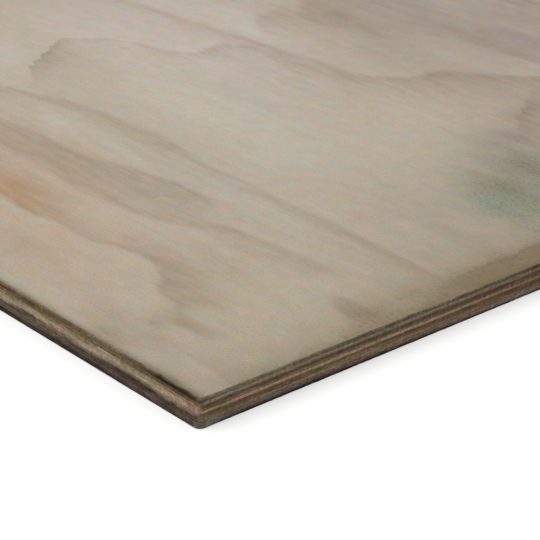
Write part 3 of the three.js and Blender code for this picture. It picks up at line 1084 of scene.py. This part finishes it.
def row_heights(name):
    """Heights of the rows, from the lowest up."""
    low, high = ply_heights[name]
    if name == "face_veneer":
        side = low + (high - low - FACE_DEPTHS[0]) * ROW_SHARES[:-2]
        return np.concatenate([side, high - FACE_DEPTHS])
    if name == "back_veneer":
        side = high - (high - low - ARRIS_DEPTHS[0]) * ROW_SHARES[:-1]
        return np.concatenate([low + ARRIS_DEPTHS[::-1], side[::-1]])
    return low + (high - low) * ROW_SHARES


print("rows up the rim:", {name: len(row_heights(name)) for name in PLY_NAMES})


# %% [markdown]
# A ply is a closed solid, because it can be taken out and looked at alone. At a glue line one flat face
# with many corners closes it, which is enough for a side that is hardly ever seen. On the outside of the
# two outer plies come the inward rows, the zip and the grid.

# %% Closing a ply
def close_ply(name, rows, clean):
    """What closes a stack of rows: extra points, the faces of a large face, and the loops at glue lines."""
    low, high = ply_heights[name]
    count = len(rim_run)
    above = (len(rows) - 1) * count
    bottom, top = np.arange(count)[::-1], above + np.arange(count)
    if name == "face_veneer":
        extra, panel = large_face(rows[-1, :, :2], clean[-1, :, :2], high)
        return extra, [group + above for group in panel], [bottom]
    if name == "back_veneer":
        extra, panel = large_face(rows[0, :, :2], clean[0, :, :2], low)
        return extra, [np.where(group < count, group, group + above)[:, ::-1] for group in panel], [top]
    return np.zeros((0, 3)), [], [bottom, top]


# %% [markdown]
# A large face carries what its shader reads: for each layer of latewood a line and a look, and the wood's
# own colour. An image could hold them too, but it would show its pixels close up. By the near corner of the
# face veneer the lines and stains are those listed above, and they fade into the rings of the log some 80
# cm away.

# %% What the shader reads on a large face
HAND_REACH = ((880, 700), (880, 720))  # along u and along v: where the listed figure ends, and is whole
NO_LINE = np.array([-99.0, 0, 0, 9, 3, 0.5])  # far off on the pale side of a line without strength


def face_attributes(points, seed, by_hand):
    """For each layer and for the rings of the log, a line (distance or age, slope, strength) and a look
    (fade, softness, warmth), and besides them the wood's own colour."""
    x, y = points[:, 0], points[:, 1]
    u, v = HALF_LENGTH - x, y + HALF_WIDTH
    laid = by_hand * smooth_step(*HAND_REACH[0], u) * smooth_step(*HAND_REACH[1], v)
    drawn = laid > 0
    found = {}
    for name, lines in LAYERS.items():
        fields = np.tile(NO_LINE[:, None], len(u))
        if by_hand:
            fields[:, drawn] = nearest_line(u[drawn], v[drawn], lines)
            fields[2] *= laid
        found[name + " line"], found[name + " look"] = fields[:3].T, fields[3:].T
    rings = ring_line(x, y, seed)
    rings[2] *= 1 - 0.85 * laid
    found["rings line"], found["rings look"] = rings.T, ring_look(x, y, seed).T
    tint = stained(u, v, WOOD, STAINS if by_hand else ())
    tint = tint * (1 + 0.07 * layered_noise(u / 210, v / 60, seed + 9))[:, None]
    found["tint"] = grimed_and_shaded(u, v, weathered(u, v, tint, seed, 1 - laid))
    return found


# %% [markdown]
# Now it all comes together: rows, inset, closing faces, map and attributes make one mesh for each ply. The
# shading is smooth, so that the fine relief doesn't look faceted, except where faces meet at a sharp angle.

# %% Build the seven plies
SHARP_ANGLE = math.radians(60)
FAR_FROM_GLUE = 9.0  # mm


def ply_attributes(name, points, z, inset):
    """The wear of every point (share of end, distance from the nearest glue line, inset) and its tint, and on
    a large face all that its figure needs."""
    low, high = ply_heights[name]
    below = np.inf if name == "back_veneer" else z - low
    above = np.inf if name == "face_veneer" else high - z
    on_end = rim_on_end + 0 * z
    wear = np.stack([on_end, np.minimum(below, above), inset], -1).reshape(-1, 3)
    tint = edge_tint(name, z).reshape(-1, 3)
    extra = len(points) - len(wear)
    found = {"wear": np.concatenate([wear, np.tile([0, FAR_FROM_GLUE, 0], (extra, 1))])}
    if extra:
        seed = FACE_SEED if name == "face_veneer" else BACK_SEED
        found.update(face_attributes(points, seed, name == "face_veneer"))
        tint = np.concatenate([tint, found["tint"][len(wear) :]])
    found["tint"] = tint
    return found


def build_ply(name):
    """The rows of the rim, closed by one flat face at each glue line and by a large face on the outside. The
    materials are numbered 0 on the rim, 1 at a glue line and 2 on a large face."""
    z = row_heights(name)[:, None] + np.zeros(len(rim_run))
    inset = ply_inset(name, z)
    rows = rim_points(z, inset)
    extra, panel, hidden = close_ply(name, rows, rim_points(z, 0 * z))
    points = np.concatenate([rows.reshape(-1, 3), extra])
    quads = row_quads(0, len(z), len(rim_run))
    places = map_places(points, len(z), hidden, panel)
    mesh = new_mesh(name, points, [quads, *hidden, *panel], places, ply_attributes(name, points, z, inset))
    kinds = [len(quads), len(hidden), sum(len(group) for group in panel)]
    mesh.polygons.foreach_set("material_index", np.repeat([0, 1, 2], kinds))
    mesh.shade_smooth()
    mesh.set_sharp_from_angle(angle=SHARP_ANGLE)
    piece = bpy.data.objects.new("looks_" + name, mesh)
    bpy.context.collection.objects.link(piece)
    triangles = sum(len(face.vertices) - 2 for face in mesh.polygons)
    print(f"{name:16s} {len(mesh.vertices):6d} points, {triangles:6d} triangles")
    return piece


pieces = {name: build_ply(name) for name in PLY_NAMES}

# %% [markdown]
# ## Shader nodes, briefly
# A material is a tree of small nodes. A few helpers keep the trees readable below: one adds a node and
# wires its inputs, the others add the kinds that come up most. Lengths inside the trees are millimetres, so
# the size of a noise can be read as the size of the thing that it draws.

# %% Node helpers
def add(tree, kind, inputs=None, **settings):
    """Adds a node, with its settings, and fills inputs with values or with other nodes' outputs."""
    node = tree.nodes.new(kind)
    for setting, value in settings.items():
        setattr(node, setting, value)
    for place, value in (inputs or {}).items():
        if isinstance(value, bpy.types.NodeSocket):
            tree.links.new(value, node.inputs[place])
        else:
            node.inputs[place].default_value = value
    return node


def calc(tree, operation, *values):
    """One step of arithmetic."""
    return add(tree, "ShaderNodeMath", dict(enumerate(values)), operation=operation).outputs[0]


def product(tree, first, *factors):
    """Several numbers multiplied together."""
    for factor in factors:
        first = calc(tree, "MULTIPLY", first, factor)
    return first


def span(tree, value, low, high, out_low=0.0, out_high=1.0):
    """A smooth rise from out_low to out_high as the value goes from low to high."""
    inputs = {"Value": value, "From Min": low, "From Max": high, "To Min": out_low, "To Max": out_high}
    return add(tree, "ShaderNodeMapRange", inputs, interpolation_type="SMOOTHSTEP").outputs[0]


def blend(tree, share, first, second, kind="MIX"):
    """Two colours mixed."""
    inputs = {"Factor": share, 6: first, 7: second}
    return add(tree, "ShaderNodeMix", inputs, data_type="RGBA", blend_type=kind).outputs[2]


def shaded(tree, colour, shade):
    """A colour made lighter or darker by a factor."""
    return add(tree, "ShaderNodeVectorMath", {0: colour, "Scale": shade}, operation="SCALE").outputs[0]


def cloud(tree, vector, size, detail=3.0, rough=0.5):
    """Noise from 0 to 1, mostly near the middle, whose lumps have this size in each direction, in mm."""
    scale = tuple(1 / length for length in size)
    spread = add(tree, "ShaderNodeVectorMath", {0: vector, 1: scale}, operation="MULTIPLY").outputs[0]
    inputs = {"Vector": spread, "Scale": 1.0, "Detail": detail, "Roughness": rough}
    return add(tree, "ShaderNodeTexNoise", inputs).outputs["Fac"]


def attribute(tree, name, output="Vector"):
    """What the mesh keeps under that name."""
    return add(tree, "ShaderNodeAttribute", attribute_name=name).outputs[output]


def parts(tree, vector):
    """The three components of a vector."""
    return add(tree, "ShaderNodeSeparateXYZ", {0: vector}).outputs


# %% [markdown]
# What several materials share is a node group, built once and used with other values each time. Patterns
# read the object's own coordinates, so they run on from ply to ply and stay in the wood when a ply is
# moved.

# %% Group and material helpers
def new_group(name, inputs, outputs):
    """An empty node group. inputs and outputs map a socket's name to its kind."""
    tree = bpy.data.node_groups.new(name, "ShaderNodeTree")
    for direction, sockets in (("INPUT", inputs), ("OUTPUT", outputs)):
        for label, kind in sockets.items():
            tree.interface.new_socket(label, in_out=direction, socket_type="NodeSocket" + kind)
    return tree, tree.nodes.new("NodeGroupInput").outputs, tree.nodes.new("NodeGroupOutput").inputs


def use(tree, group, inputs):
    """One use of a node group."""
    return add(tree, "ShaderNodeGroup", inputs, node_tree=group).outputs


def screen(*colour):
    """A colour as seen on a screen, 0 to 255, as Blender's linear red, green, blue and alpha."""
    return (*linear(colour), 1.0)


def new_material(name):
    """A material with its tree and the object's own coordinates in mm."""
    material = bpy.data.materials.new(name)
    material.use_nodes = True
    tree = material.node_tree
    place = add(tree, "ShaderNodeTexCoord").outputs["Object"]
    return material, tree, shaded(tree, place, 1 / MM)


def finish_shader(tree, colour, rough, height, bump, shine):
    """Wires a colour, a roughness and a relief in mm into the Principled shader."""
    shader = tree.nodes["Principled BSDF"]
    relief = add(tree, "ShaderNodeBump", {"Strength": bump, "Distance": MM, "Height": height}).outputs[0]
    for label, socket in (("Base Color", colour), ("Roughness", rough), ("Normal", relief)):
        tree.links.new(socket, shader.inputs[label])
    shader.inputs["Specular IOR Level"].default_value = shine


# %% [markdown]
# ## Wood fibre
# Softwood is a bundle of long, thin tubes. Seen from the side they are streaks, and cut across they are
# dots, so one solid noise, stretched along the grain, draws both. The group takes coordinates whose first
# axis is the grain, and a ply that lies the other way is served by turning the coordinates.

# %% Node group: wood fibre
STREAKS = {"Fine": (22, 0.45, 0.4), "Bundle": (60, 1.7, 1.3), "Band": (170, 9, 5)}  # mm along and across
STREAK_DETAIL = {"Fine": (3.0, 0.6), "Bundle": (3.0, 0.5), "Band": (2.0, 0.5)}


def make_fibre_group():
    """Three sizes of streak: single fibres, bundles of them, and broad bands."""
    tree, source, result = new_group("wood fibre", {"Place": "Vector"}, dict.fromkeys(STREAKS, "Float"))
    for label, size in STREAKS.items():
        tree.links.new(cloud(tree, source["Place"], size, *STREAK_DETAIL[label]), result[label])
    return tree


fibre_group = make_fibre_group()
print("sizes of streak, mm:", STREAKS)

# %% [markdown]
# ## One layer of latewood
# The group lays one layer over the wood. It shifts the line by the fray, turns the distance into darkness
# (a smooth rise over the line's softness, then a fall that is quick at first and slow after), and picks a
# hue by the warmth. Grey latewood is weathered, brown is sound, orange is full of resin, and the coldest
# hue is the dark line that water leaves.

# %% Node group: latewood
TIDE_LINE = screen(104, 86, 70)
GREY_LATEWOOD = screen(126, 118, 98)
BROWN_LATEWOOD = screen(144, 124, 104)
RESIN_LATEWOOD = screen(157, 120, 80)
QUICK_SHARE = 0.65


def make_latewood_group():
    """Darkness = strength * patch * rise * (0.65 e^(-d / fade) + 0.35 e^(-d / (4 fade))), where d is the
    distance past the line, rise goes from 0 to 1 across the line's softness, and patch makes it blotchy."""
    inputs = {"Wood": "Color", "Line": "Vector", "Look": "Vector"}
    inputs.update({"Patch": "Float", "Fray": "Float", "Wobble": "Float"})
    tree, source, result = new_group("latewood", inputs, {"Wood": "Color", "Dark": "Float"})
    distance, slope, strength = parts(tree, source["Line"])
    fade, softness, warmth = parts(tree, source["Look"])
    distance = calc(tree, "MULTIPLY_ADD", slope, source["Fray"], distance)
    distance = calc(tree, "ADD", distance, source["Wobble"])
    half_soft = calc(tree, "MULTIPLY", softness, 0.5)
    rise = span(tree, distance, calc(tree, "MULTIPLY", softness, -0.5), half_soft)
    depth = calc(tree, "DIVIDE", calc(tree, "MAXIMUM", distance, 0.0), fade)
    quick = calc(tree, "EXPONENT", calc(tree, "MULTIPLY", depth, -1.0))
    slow = calc(tree, "EXPONENT", calc(tree, "MULTIPLY", depth, -0.25))
    fall = calc(tree, "MULTIPLY_ADD", slow, 1 - QUICK_SHARE, calc(tree, "MULTIPLY", quick, QUICK_SHARE))
    dark = product(tree, rise, fall, strength, source["Patch"])
    hue = blend(tree, span(tree, warmth, -1.0, 0.0), TIDE_LINE, GREY_LATEWOOD)
    hue = blend(tree, span(tree, warmth, 0.0, 0.5), hue, BROWN_LATEWOOD)
    hue = blend(tree, span(tree, warmth, 0.5, 1.0), hue, RESIN_LATEWOOD)
    tree.links.new(blend(tree, dark, source["Wood"], hue), result["Wood"])
    tree.links.new(dark, result["Dark"])
    return tree


latewood_group = make_latewood_group()
print("nodes in one layer of latewood:", len(latewood_group.nodes))

# %% [markdown]
# ## The face of the sheet
# The material lays the layers of latewood over the stained wood, one after another. For the rings of the
# log the distance comes from the fraction of the age, times a typical width. The line that water leaves
# ignores the grain, so it wobbles where the others fray.

# %% The figure of the face
FRAY = 18.0
WOBBLE = 7.0
RING_SPREAD = 80.0  # one ring's width in mm, as far as its latewood is concerned
BLOTCHES = (0.68, 1.32)  # the least and the most that a blotch leaves of the latewood


def unrest(tree, place, size, detail, rough, amount):
    """A noise that swings around 0, by the amount."""
    swing = calc(tree, "SUBTRACT", cloud(tree, place, size, detail, rough), 0.5)
    return calc(tree, "MULTIPLY", swing, amount)


def lay_latewood(tree, place, wood):
    """The wood's colour under all layers of latewood, and how dark the darkest of them is."""
    fray = unrest(tree, place, (45, 4, 9), 4.0, 0.6, FRAY)
    wobble = unrest(tree, place, (38, 14, 9), 3.0, 0.5, WOBBLE)
    patch = span(tree, cloud(tree, place, (36, 7, 9), 3.0, 0.6), 0.3, 0.7, *BLOTCHES)
    age, age_slope, strength = parts(tree, attribute(tree, "rings line"))
    age = calc(tree, "FRACT", calc(tree, "MULTIPLY_ADD", age_slope, fray, age))
    past = calc(tree, "MULTIPLY", age, RING_SPREAD)
    rings = add(tree, "ShaderNodeCombineXYZ", {0: past, 2: strength}).outputs[0]
    dark = 0.0
    for layer in ("rings", *LAYERS):
        line = rings if layer == "rings" else attribute(tree, layer + " line")
        inputs = {"Wood": wood, "Line": line, "Look": attribute(tree, layer + " look"), "Patch": patch}
        inputs.update({"Fray": wobble if layer == "soak" else fray, "Wobble": wobble})
        laid = use(tree, latewood_group, inputs)
        wood = laid["Wood"]
        dark = calc(tree, "MAXIMUM", dark, laid["Dark"])
    return wood, dark


# %% [markdown]
# Over the figure come things that have no pattern: specks of mildew where the wood has stayed damp, fuzz
# and fibres that catch the light, and a mottle of hardly visible hues, which keeps the grey from looking
# painted. Latewood is denser than the wood around it, so it also stands a little proud and shines a little
# more.

# %% Material: veneer face
MILDEW = screen(98, 96, 78)
MILDEW_AMOUNT = 0.46
DAMP_RED = (0.36, 0.24)  # the tint's red in dry wood and in wood that has stayed damp
PINKISH = (1.065, 0.96, 0.985, 1.0)
GREENISH = (0.935, 1.035, 1.005, 1.0)
YELLOWISH = (1.01, 1.0, 0.9, 1.0)
BLUISH = (0.99, 1.0, 1.1, 1.0)
FACE_SHADES = {"Fine": (0.975, 1.02), "Bundle": (0.99, 1.01), "Band": (0.985, 1.015)}


def make_face_material(name):
    """Stained wood under its latewood and specks of mildew, times a mottle in brightness and in hue."""
    material, tree, place = new_material(name)
    fibre = use(tree, fibre_group, {"Place": place})
    tint = attribute(tree, "tint", "Color")
    wood, dark = lay_latewood(tree, place, tint)

    damp = span(tree, add(tree, "ShaderNodeSeparateColor", {0: tint}).outputs["Red"], *DAMP_RED)
    specks = span(tree, cloud(tree, place, (2.8, 2.6, 2.6), 3.0, 0.6), 0.44, 0.68, 0.0, MILDEW_AMOUNT)
    wood = blend(tree, calc(tree, "MULTIPLY", specks, damp), wood, MILDEW)

    fuzz = cloud(tree, place, (1.5, 1.2, 1.2), 2.0, 0.6)
    mottle = cloud(tree, place, (12, 11, 9), 3.0, 0.6)
    shades = [span(tree, fibre[label], 0.25, 0.75, *shade) for label, shade in FACE_SHADES.items()]
    mottled = span(tree, mottle, 0.25, 0.75, 0.96, 1.04)
    wood = shaded(tree, wood, product(tree, span(tree, fuzz, 0.25, 0.75, 0.92, 1.08), *shades, mottled))
    blush = span(tree, cloud(tree, place, (14, 13, 10), 4.0, 0.75), 0.3, 0.7)
    wood = blend(tree, 1.0, wood, blend(tree, blush, PINKISH, GREENISH), "MULTIPLY")
    dusty = span(tree, cloud(tree, place, (11, 13, 10), 4.0, 0.75), 0.3, 0.7)
    wood = blend(tree, 1.0, wood, blend(tree, dusty, YELLOWISH, BLUISH), "MULTIPLY")

    rough = calc(tree, "MULTIPLY_ADD", dark, -0.08, span(tree, fibre["Bundle"], 0.3, 0.7, 0.78, 0.66))
    height = calc(tree, "MULTIPLY_ADD", fibre["Fine"], 0.03, calc(tree, "MULTIPLY", fibre["Bundle"], 0.05))
    height = calc(tree, "MULTIPLY_ADD", dark, 0.05, height)
    height = calc(tree, "MULTIPLY_ADD", fuzz, 0.03, height)
    finish_shader(tree, wood, rough, height, bump=0.6, shine=0.3)
    return material


face_material = make_face_material("veneer face")
print("nodes in the face's material:", len(face_material.node_tree.nodes))

# %% [markdown]
# ## The sawn edge
# Sawn wood is rougher and darker than the face. Long streaks run along each ply whichever way its fibres
# lie, because the growth rings lie flat in peeled veneer and every cut crosses them edge on. On end grain
# there are torn pits as well, darkened by grime and by painted shade. Grime lies in patches, places that
# lie back are darkened as painted shade, and along a glue line the wood is a little darker and smoother.

# %% Material: sawn edge
GLUE_COLOUR = screen(52, 40, 30)
GLUE_AMOUNT = 0.27
GLUE_REACH = (0.1, 0.24)  # mm from the glue line: full, and gone


def make_edge_material(name, grain_along_sheet):
    """The ply's tint times streaks, crumbs, saw marks and grime, darkened as painted shade where the edge
    lies back, and with grime and painted shade in the torn pits. The glue line is laid over.
    """
    material, tree, place = new_material(name)
    on_end, glue, inset = parts(tree, attribute(tree, "wear"))
    along_grain, end_grain = place, on_end
    if not grain_along_sheet:
        turn = {"Vector": place, "Rotation": (0.0, 0.0, math.pi / 2)}
        along_grain = add(tree, "ShaderNodeMapping", turn).outputs[0]
        end_grain = calc(tree, "SUBTRACT", 1.0, on_end)
    fibre = use(tree, fibre_group, {"Place": along_grain})
    rings = cloud(tree, place, (22, 22, 0.6), 3.0, 0.6)
    crumbs = cloud(tree, place, (2.5, 2.5, 1.6), 2.0, 0.6)
    saw = cloud(tree, place, (0.9, 0.9, 12), 2.0)
    pits = calc(tree, "MULTIPLY", span(tree, cloud(tree, place, (1.5, 1.5, 0.8), 2.0), 0.54, 0.66), end_grain)
    grime = span(tree, cloud(tree, place, (17, 17, 3), 3.0), 0.5, 0.72)

    streaks = [span(tree, rings, 0.3, 0.7, 0.82, 1.2), span(tree, crumbs, 0.3, 0.7, 0.76, 1.22)]
    marks = [span(tree, fibre["Fine"], 0.3, 0.7, 0.9, 1.1), span(tree, saw, 0.3, 0.7, 0.92, 1.08)]
    # the torn pits darkened, grime and painted shade in them, and the grime patches
    dirt_and_pit_shade = [calc(tree, "MULTIPLY_ADD", pits, -0.25, 1.04), calc(tree, "MULTIPLY_ADD", grime, -0.2, 1.04)]
    # painted shade: darker where the edge lies back by more than 0.6 mm
    painted_recess_shade = span(tree, inset, 0.6, 1.6, 1.0, 0.6)
    wood = shaded(tree, attribute(tree, "tint", "Color"), product(tree, *streaks, *marks, *dirt_and_pit_shade, painted_recess_shade))
    from_glue = calc(tree, "MULTIPLY_ADD", rings, 0.25, glue)
    line = span(tree, from_glue, *GLUE_REACH, GLUE_AMOUNT, 0.0)

    rough = calc(tree, "MULTIPLY_ADD", line, -0.3, span(tree, fibre["Bundle"], 0.3, 0.7, 0.92, 0.8))
    relief = calc(tree, "MULTIPLY_ADD", rings, 0.25, calc(tree, "MULTIPLY", fibre["Fine"], 0.12))
    relief = calc(tree, "MULTIPLY_ADD", pits, -0.2, relief)
    relief = calc(tree, "MULTIPLY_ADD", saw, 0.06, relief)
    finish_shader(tree, blend(tree, line, wood, GLUE_COLOUR), rough, relief, bump=0.7, shine=0.15)
    return material


long_edge = make_edge_material("sawn edge with the grain", True)
cross_edge = make_edge_material("sawn edge across the grain", False)
print("nodes in an edge's material:", len(long_edge.node_tree.nodes), len(cross_edge.node_tree.nodes))

# %% [markdown]
# ## The glue
# Two plies meet in a film of hot-pressed glue. Nobody sees it unless the sheet comes apart, but a ply is a
# piece of its own here and can be looked at alone, so its hidden sides are finished too. The film is thin,
# brown and glossy, and wood shows through where the veneer drank it up.

# %% Material: glue film
THIN_GLUE = screen(104, 80, 56)


def make_glue_material():
    """Dark glue with broad, soft patches where it is thin."""
    material, tree, place = new_material("glue film")
    thin = span(tree, cloud(tree, place, (420, 260, 90), 2.0), 0.4, 0.65)
    colour = blend(tree, thin, GLUE_COLOUR, THIN_GLUE)
    rough = span(tree, thin, 0.0, 1.0, 0.3, 0.6)
    finish_shader(tree, colour, rough, cloud(tree, place, (60, 60, 60), 2.0), bump=0.3, shine=0.5)
    return material


glue_material = make_glue_material()
print("nodes in the glue's material:", len(glue_material.node_tree.nodes))

# %% [markdown]
# ## Putting the pieces in the frame
# Each mesh takes the place of the CAD ply of the same name: it gets its materials and hangs from the
# sheet's root, and the CAD ply is hidden.

# %% Fit the pieces
for name, piece in pieces.items():
    piece.data.materials.append(long_edge if name in LONG_GRAIN else cross_edge)
    piece.data.materials.append(glue_material)
    if name in ("face_veneer", "back_veneer"):
        piece.data.materials.append(face_material)
    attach(piece, "root")
    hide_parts(name)

# %% [markdown]
# ## Floor, sky and lamp
# The light is that of a pale studio. The sky is an even, dim white, and one large soft lamp stands on the
# left. Together they come to about 1 on a level surface, at which a colour renders as it is written. The
# floor adds a little glow of its own towards the camera only, so that it looks white and still takes a
# shadow.

# %% Stage
SKY_STRENGTH = 0.74
FLOOR_WHITE = 0.6
FLOOR_GLOW = 0.46
FLOOR_HALF = 30.0  # metres, as are the next lengths
FLOOR_DROP = 0.0001  # keeps the floor from flickering through the underside
LAMP_POWER = 58.0  # watts
LAMP_SIZE = 2.4
LAMP_PLACE = Vector((0.3, -2.7, 2.6))


def camera_or_shiny(tree):
    """1 for what the camera sees directly, in a mirror or through glass."""
    path = add(tree, "ShaderNodeLightPath").outputs
    seen = calc(tree, "MAXIMUM", path["Is Camera Ray"], path["Is Glossy Ray"])
    return calc(tree, "MAXIMUM", seen, path["Is Transmission Ray"])


def make_floor():
    """A large square with a matt finish, plus a glow that only the camera sees."""
    mesh = bpy.data.meshes.new("floor")
    signs = ((-1, -1), (1, -1), (1, 1), (-1, 1))
    mesh.from_pydata([(x * FLOOR_HALF, y * FLOOR_HALF, -FLOOR_DROP) for x, y in signs], [], [(0, 1, 2, 3)])
    floor = bpy.data.objects.new("floor", mesh)
    bpy.context.collection.objects.link(floor)
    material = bpy.data.materials.new("pale floor")
    material.use_nodes = True
    tree = material.node_tree
    tree.nodes.clear()
    matt = add(tree, "ShaderNodeBsdfDiffuse", {"Color": (FLOOR_WHITE, FLOOR_WHITE, FLOOR_WHITE, 1.0)})
    strength = calc(tree, "MULTIPLY", camera_or_shiny(tree), FLOOR_GLOW)
    glow = add(tree, "ShaderNodeEmission", {"Strength": strength})
    both = add(tree, "ShaderNodeAddShader", {0: matt.outputs[0], 1: glow.outputs[0]})
    add(tree, "ShaderNodeOutputMaterial", {"Surface": both.outputs[0]})
    mesh.materials.append(material)
    return floor


def light_the_stage():
    """An even sky, which the camera sees as white, and one soft lamp aimed at the sheet's near corner."""
    world = bpy.data.worlds.new("studio")
    world.use_nodes = True
    tree = world.node_tree
    strength = calc(tree, "MULTIPLY_ADD", camera_or_shiny(tree), 1 - SKY_STRENGTH, SKY_STRENGTH)
    background = tree.nodes["Background"]
    background.inputs["Color"].default_value = (1.0, 1.0, 1.0, 1.0)
    tree.links.new(strength, background.inputs["Strength"])
    bpy.context.scene.world = world
    data = bpy.data.lights.new("soft lamp", "AREA")
    data.energy = LAMP_POWER
    data.size = LAMP_SIZE
    lamp = bpy.data.objects.new("soft lamp", data)
    aim = (near_corner - LAMP_PLACE).to_track_quat("-Z", "Y").to_matrix().to_4x4()
    lamp.matrix_world = Matrix.Translation(LAMP_PLACE) @ aim
    bpy.context.collection.objects.link(lamp)


make_floor()
light_the_stage()
bpy.context.scene.view_settings.view_transform = "Standard"
print("lamp to near corner, m:", round((near_corner - LAMP_PLACE).length, 2))

# %% [markdown]
# ## The size
# The finished pieces must stay inside the box of the CAD model, which is printed here.

# %% Write the sizes and finish
print("box before:", [round(v, 5) for v in (*cad_low, *cad_high)])
